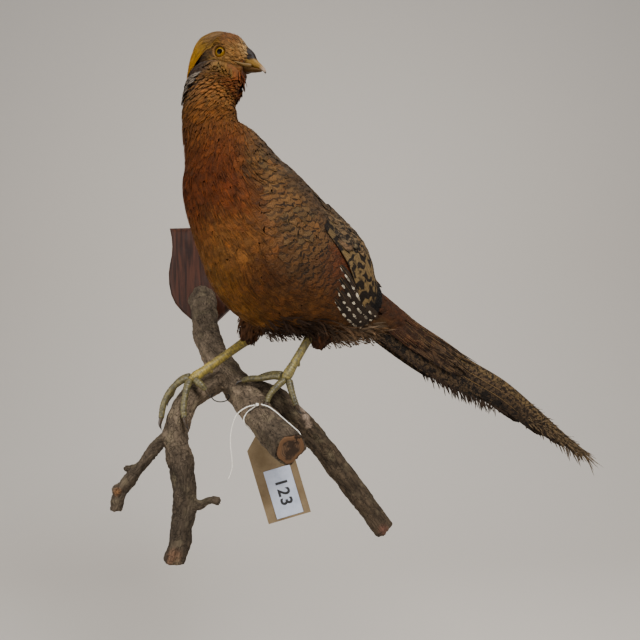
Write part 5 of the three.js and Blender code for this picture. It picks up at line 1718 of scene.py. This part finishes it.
def make_branch(sizes):
    """The forked branch: one closed mesh, with bark ridges along the grain and knots."""
    lofts = [MAIN_BRANCH, LEFT_BRANCH, RIGHT_BRANCH, LEFT_TWIG, SMALL_TWIG, TWIG_SPUR, TWIG_STUB]
    parts = [closed_tube("form", loft_rings(loft, 10 * loft.count + 1, 32)) for loft in lofts]
    bark = remeshed("branch_bark", parts, 1.25, 2)
    points = mesh_points(bark)
    places, gaps = nearest(lofts, points)
    which = np.argmin(gaps, axis=0)
    pick = which, np.arange(len(points))
    runs = np.stack([loft.run_at(n) for loft, (n, _) in zip(lofts, places)])
    turns = np.stack([a for _, a in places])
    run, turn = runs[pick], turns[pick]
    # the ridges are noise on a drum 12 mm in radius, drawn out along the branch
    ridges = waves(np.stack([run * 0.16, 12 * np.cos(turn), 12 * np.sin(turn)], -1), 6, 3)
    lumps, specks = waves(points, 26, 4), waves(points, 5, 5)
    # the bark swells where it meets the shield
    swell = 1.3 * np.clip((points[:, 1] + 26) / 10, 0, 1)
    depth = 0.5 * ridges + 0.6 * lumps + 0.2 * specks + swell
    points = points + depth[:, None] * vertex_values(bark, "normal")
    points[:, 1] = np.minimum(points[:, 1], -3)
    set_points(bark, points)
    right = ((which == 2) * np.clip(run / 60, 0, 1))[:, None]
    ground = (1 - right) * linear("#6d5d4b")[:3] + right * linear("#63523f")[:3]
    # it is painted darkest by the shield and towards the sawn end, where the bird and the fork
    # shade it: painted shade
    wear_and_shade = np.where(
        which == 0, np.interp(run, (0, 90, 170, 260, 330), (0.45, 0.55, 1, 0.85, 0.4)),
        np.where(which == 1, np.interp(run, (0, 60, 100, 130), (0.8, 0.8, 0.65, 0.3)), 0.38))
    ground = ground * (wear_and_shade * (1 + 0.12 * lumps))[:, None]
    # these marks include the two painted shadows by the left foot's hind claw
    for at, radius, tone in BARK_MARKS_AND_SHADOWS:
        amount = np.exp(-(np.linalg.norm(points - at, axis=1) / radius) ** 4)[:, None]
        ground = ground * (1 - amount) + amount * linear(tone)[:3]
    charts = np.stack([pair(r / 400, t / TURN + 0.5) for r, t in zip(runs, turns)])
    # the grain map is in metres: 0.4 m a chart along the branch and 0.07 m round it
    grain = corner_chart(bark, charts * (0.4, 1), which, 1) * (1, 0.07 / 0.8)
    put_layers(
        bark, {"OFBake": corner_chart(bark, charts, which, len(lofts)), "Grain": grain}, ground)
    finish_piece(bark, bark_finish("weathered bark"), "bark", "branch_main", "branch_left",
                 "branch_right", "twig_left", "twig_small")

    discs = []
    for loft, inset in ((MAIN_BRANCH, 2.2), (TWIG_STUB, 0.7), (LEFT_BRANCH, 1.2)):
        r, a = np.linspace(0.02, 1, 12)[:, None], ring(48)
        centre, tangent, *_ = (values[0] for values in loft.frame(np.array([float(loft.count)])))
        dome = 0.75 - 0.25 * r[..., None] ** 6
        rim = loft.point(loft.count, a, -inset)
        top = centre + (rim - centre) * r[..., None] + tangent * dome
        rings = np.concatenate([top, top[::-1] - tangent * 2])
        grid = pair(np.concatenate([r, r[::-1]]), a / TURN)
        discs.append(closed_tube("disc", rings, {"Rings": grid}))
    finish_piece(joined("sawn_ends", discs), sawn_finish("sawn end grain"), "bark")

    # a loop of old hanging wire under the fork
    loop = Loft(*(((54.5 - 8.5 * np.cos(w), -188 + 2 * np.sin(w), -131.5 - 5.5 * np.sin(w)), 0.55)
                  for w in np.linspace(-0.5, math.pi + 0.5, 12)))
    # annealed iron: dark oxide, half dull
    iron = mottled_finish(
        "annealed iron wire", 1, (0.4, 0.7), ("#1b1a19", "#3b322b"), 3, Metallic=0.8,
        Roughness=0.5)
    finish_piece(closed_tube("wire_loop", loft_rings(loop, 60, 10)), iron, "bark")


# ----- shield and tag -----

def make_shield(sizes):
    """The shield keeps its solid form and takes its wood."""
    bpy.data.objects["shield"].data.materials[0] = oak_finish("dark stained oak")


TAG_AT, TAG_TURN = (110.8, -212.5, -203), 0.262
DIGITS_ON_TAG = (1.3, -15.7, 1.55)  # the middle of the digits: across the card, down it, out of it


def make_tag(sizes):
    """Card and label finishes, and plain digits down the label."""
    card = card_finish("manila card", "#76644a", "#56452e", 30)
    bpy.data.objects["tag_card"].data.materials[0] = card
    label = card_finish("label paper", "#a9adb8", "#959aa6", 10)
    bpy.data.objects["tag_label"].data.materials[0] = label
    text = bpy.data.curves.new("digits", "FONT")
    text.body, text.size = "123", 0.0155
    text.align_x = text.align_y = "CENTER"
    text.extrude, text.space_character, text.offset = 0.00006, 1.15, 0.00042
    flat = placed("digits", text)
    digits = placed("tag_digits", applied(flat))
    bpy.data.objects.remove(flat)
    # read down the tag: the text's x runs down the card and its y to the card's right
    across, down, out = (mesh_points(digits)[:, (1, 0, 2)] * (1, -1, 1) + DIGITS_ON_TAG).T
    c, s = math.cos(TAG_TURN), math.sin(TAG_TURN)
    set_points(digits, np.stack([c * across - s * down, -out, s * across + c * down], -1) + TAG_AT)
    # printing ink: near black and slightly shiny where it sits on the paper
    ink = mottled_finish("printing ink", 0.8, (0.5, 0.75), ("#0b0b0d", "#26262a"), Roughness=0.5)
    finish_piece(digits, ink, "label_paper")


# ----- settings and operators -----

def length(name, description, default, low, high):
    """A length that a user may change, in metres."""
    return bpy.props.FloatProperty(
        name=name, description=description, default=default, min=low, max=high,
        subtype="DISTANCE", unit="LENGTH", precision=4)


def power(name, description, default):
    """A light's power, in watts."""
    return bpy.props.FloatProperty(
        name=name, description=description, default=default, min=0, unit="POWER")


class PheasantPlumage(bpy.types.PropertyGroup):
    """Sizes of the bird's covering."""

    coat_depth: length(
        "Coat depth", "How far the skin lies inside the feathers' outline", 0.0032, 0.001, 0.006)
    row_gap: length("Row gap", "Distance between rows of body feathers", 0.0064, 0.003, 0.012)
    feather_length: length(
        "Feather length", "Length of a body feather from root to tip", 0.0205, 0.008, 0.04)
    feather_half: length(
        "Feather half width", "Half the width of a body feather", 0.0070, 0.002, 0.012)
    eye_radius: length("Eye radius", "Radius of the glass eyes", 0.006, 0.004, 0.007)


class PheasantStudio(bpy.types.PropertyGroup):
    """The studio round the mount."""

    wall_tone: bpy.props.StringProperty(
        name="Wall tone", description="Colour of the wall and floor, as an sRGB hex value",
        default="#d6cec3")
    key_watts: power("Key light", "Power of the main light, front right and above", 32)
    fill_watts: power("Fill light", "Power of the soft light at the left", 18)
    top_watts: power("Top light", "Power of the light from above", 8)
    room_light: bpy.props.FloatProperty(
        name="Room light", description="Strength of the light from all round", default=0.65, min=0)


class PheasantMaker:
    """What the operators below share: each runs its maker with the scene's settings."""

    bl_options = {"REGISTER", "UNDO"}
    settings = "pheasant_plumage"

    def execute(self, context):
        self.maker(getattr(context.scene, self.settings))
        return {"FINISHED"}


class PHEASANT_OT_studio(PheasantMaker, bpy.types.Operator):
    """Set up the wall, the floor, the camera and the lights"""

    bl_idname, bl_label = "pheasant.studio", "Studio"
    maker, settings = staticmethod(make_stage), "pheasant_studio"


class PHEASANT_OT_string(PheasantMaker, bpy.types.Operator):
    """Tie the tag's string round the branch"""

    bl_idname, bl_label = "pheasant.string", "String"
    maker = staticmethod(make_string)


class PHEASANT_OT_skin(PheasantMaker, bpy.types.Operator):
    """Make the skin over body, head and thighs"""

    bl_idname, bl_label = "pheasant.skin", "Skin"
    maker = staticmethod(make_skin)


class PHEASANT_OT_coat(PheasantMaker, bpy.types.Operator):
    """Lay the feathers of trunk, neck, head and thighs, and the down under the vent"""

    bl_idname, bl_label = "pheasant.coat", "Feather coat"
    maker = staticmethod(make_coat)


class PHEASANT_OT_eyes(PheasantMaker, bpy.types.Operator):
    """Set the glass eyes and their lids"""

    bl_idname, bl_label = "pheasant.eyes", "Eyes and lids"
    maker = staticmethod(make_eyes)


class PHEASANT_OT_bill(PheasantMaker, bpy.types.Operator):
    """Make both halves of the bill"""

    bl_idname, bl_label = "pheasant.bill", "Bill"
    maker = staticmethod(make_bill)


class PHEASANT_OT_crest(PheasantMaker, bpy.types.Operator):
    """Lay the silky crest"""

    bl_idname, bl_label = "pheasant.crest", "Crest"
    maker = staticmethod(make_crest)


class PHEASANT_OT_wings(PheasantMaker, bpy.types.Operator):
    """Fold both wings: coverts, tertials and quills"""

    bl_idname, bl_label = "pheasant.wings", "Wings"
    maker = staticmethod(make_wings)


class PHEASANT_OT_tail(PheasantMaker, bpy.types.Operator):
    """Make the long tail and its coverts"""

    bl_idname, bl_label = "pheasant.tail", "Tail"
    maker = staticmethod(make_tail)


class PHEASANT_OT_legs(PheasantMaker, bpy.types.Operator):
    """Make shanks, toes and claws"""

    bl_idname, bl_label = "pheasant.legs", "Legs and feet"
    maker = staticmethod(make_legs)


class PHEASANT_OT_branch(PheasantMaker, bpy.types.Operator):
    """Make the forked branch and its sawn ends"""

    bl_idname, bl_label = "pheasant.branch", "Branch"
    maker = staticmethod(make_branch)


class PHEASANT_OT_shield(PheasantMaker, bpy.types.Operator):
    """Finish the wall shield"""

    bl_idname, bl_label = "pheasant.shield", "Shield"
    maker = staticmethod(make_shield)


class PHEASANT_OT_tag(PheasantMaker, bpy.types.Operator):
    """Finish the luggage tag, its label and its digits"""

    bl_idname, bl_label = "pheasant.tag", "Tag"
    maker = staticmethod(make_tag)


OPERATORS = tuple(PheasantMaker.__subclasses__())  # in the order of making


class PHEASANT_PT_panel(bpy.types.Panel):
    """Everything the mount is made of, in the order of making"""

    bl_idname, bl_label = "PHEASANT_PT_panel", "Mounted Pheasant"
    bl_space_type, bl_region_type, bl_category = "VIEW_3D", "UI", "Pheasant"

    def draw(self, context):
        for settings in (context.scene.pheasant_studio, context.scene.pheasant_plumage):
            for name in type(settings).__annotations__:
                self.layout.prop(settings, name)
        for operator in OPERATORS:
            self.layout.operator(operator.bl_idname)


CLASSES = (PheasantPlumage, PheasantStudio, *OPERATORS, PHEASANT_PT_panel)


def register():
    for cls in CLASSES:
        bpy.utils.register_class(cls)
    bpy.types.Scene.pheasant_plumage = bpy.props.PointerProperty(type=PheasantPlumage)
    bpy.types.Scene.pheasant_studio = bpy.props.PointerProperty(type=PheasantStudio)


def unregister():
    del bpy.types.Scene.pheasant_studio, bpy.types.Scene.pheasant_plumage
    for cls in reversed(CLASSES):
        bpy.utils.unregister_class(cls)


def main():
    """Makes every piece in order."""
    register()
    for operator in OPERATORS:
        group, name = operator.bl_idname.split(".")
        getattr(getattr(bpy.ops, group), name)()
    boxes = {"cad": CAD_BOX, "visual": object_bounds()}
    plain = {key: [[float(x) for x in corner] for corner in box] for key, box in boxes.items()}


if __name__ == "__main__":
    main()
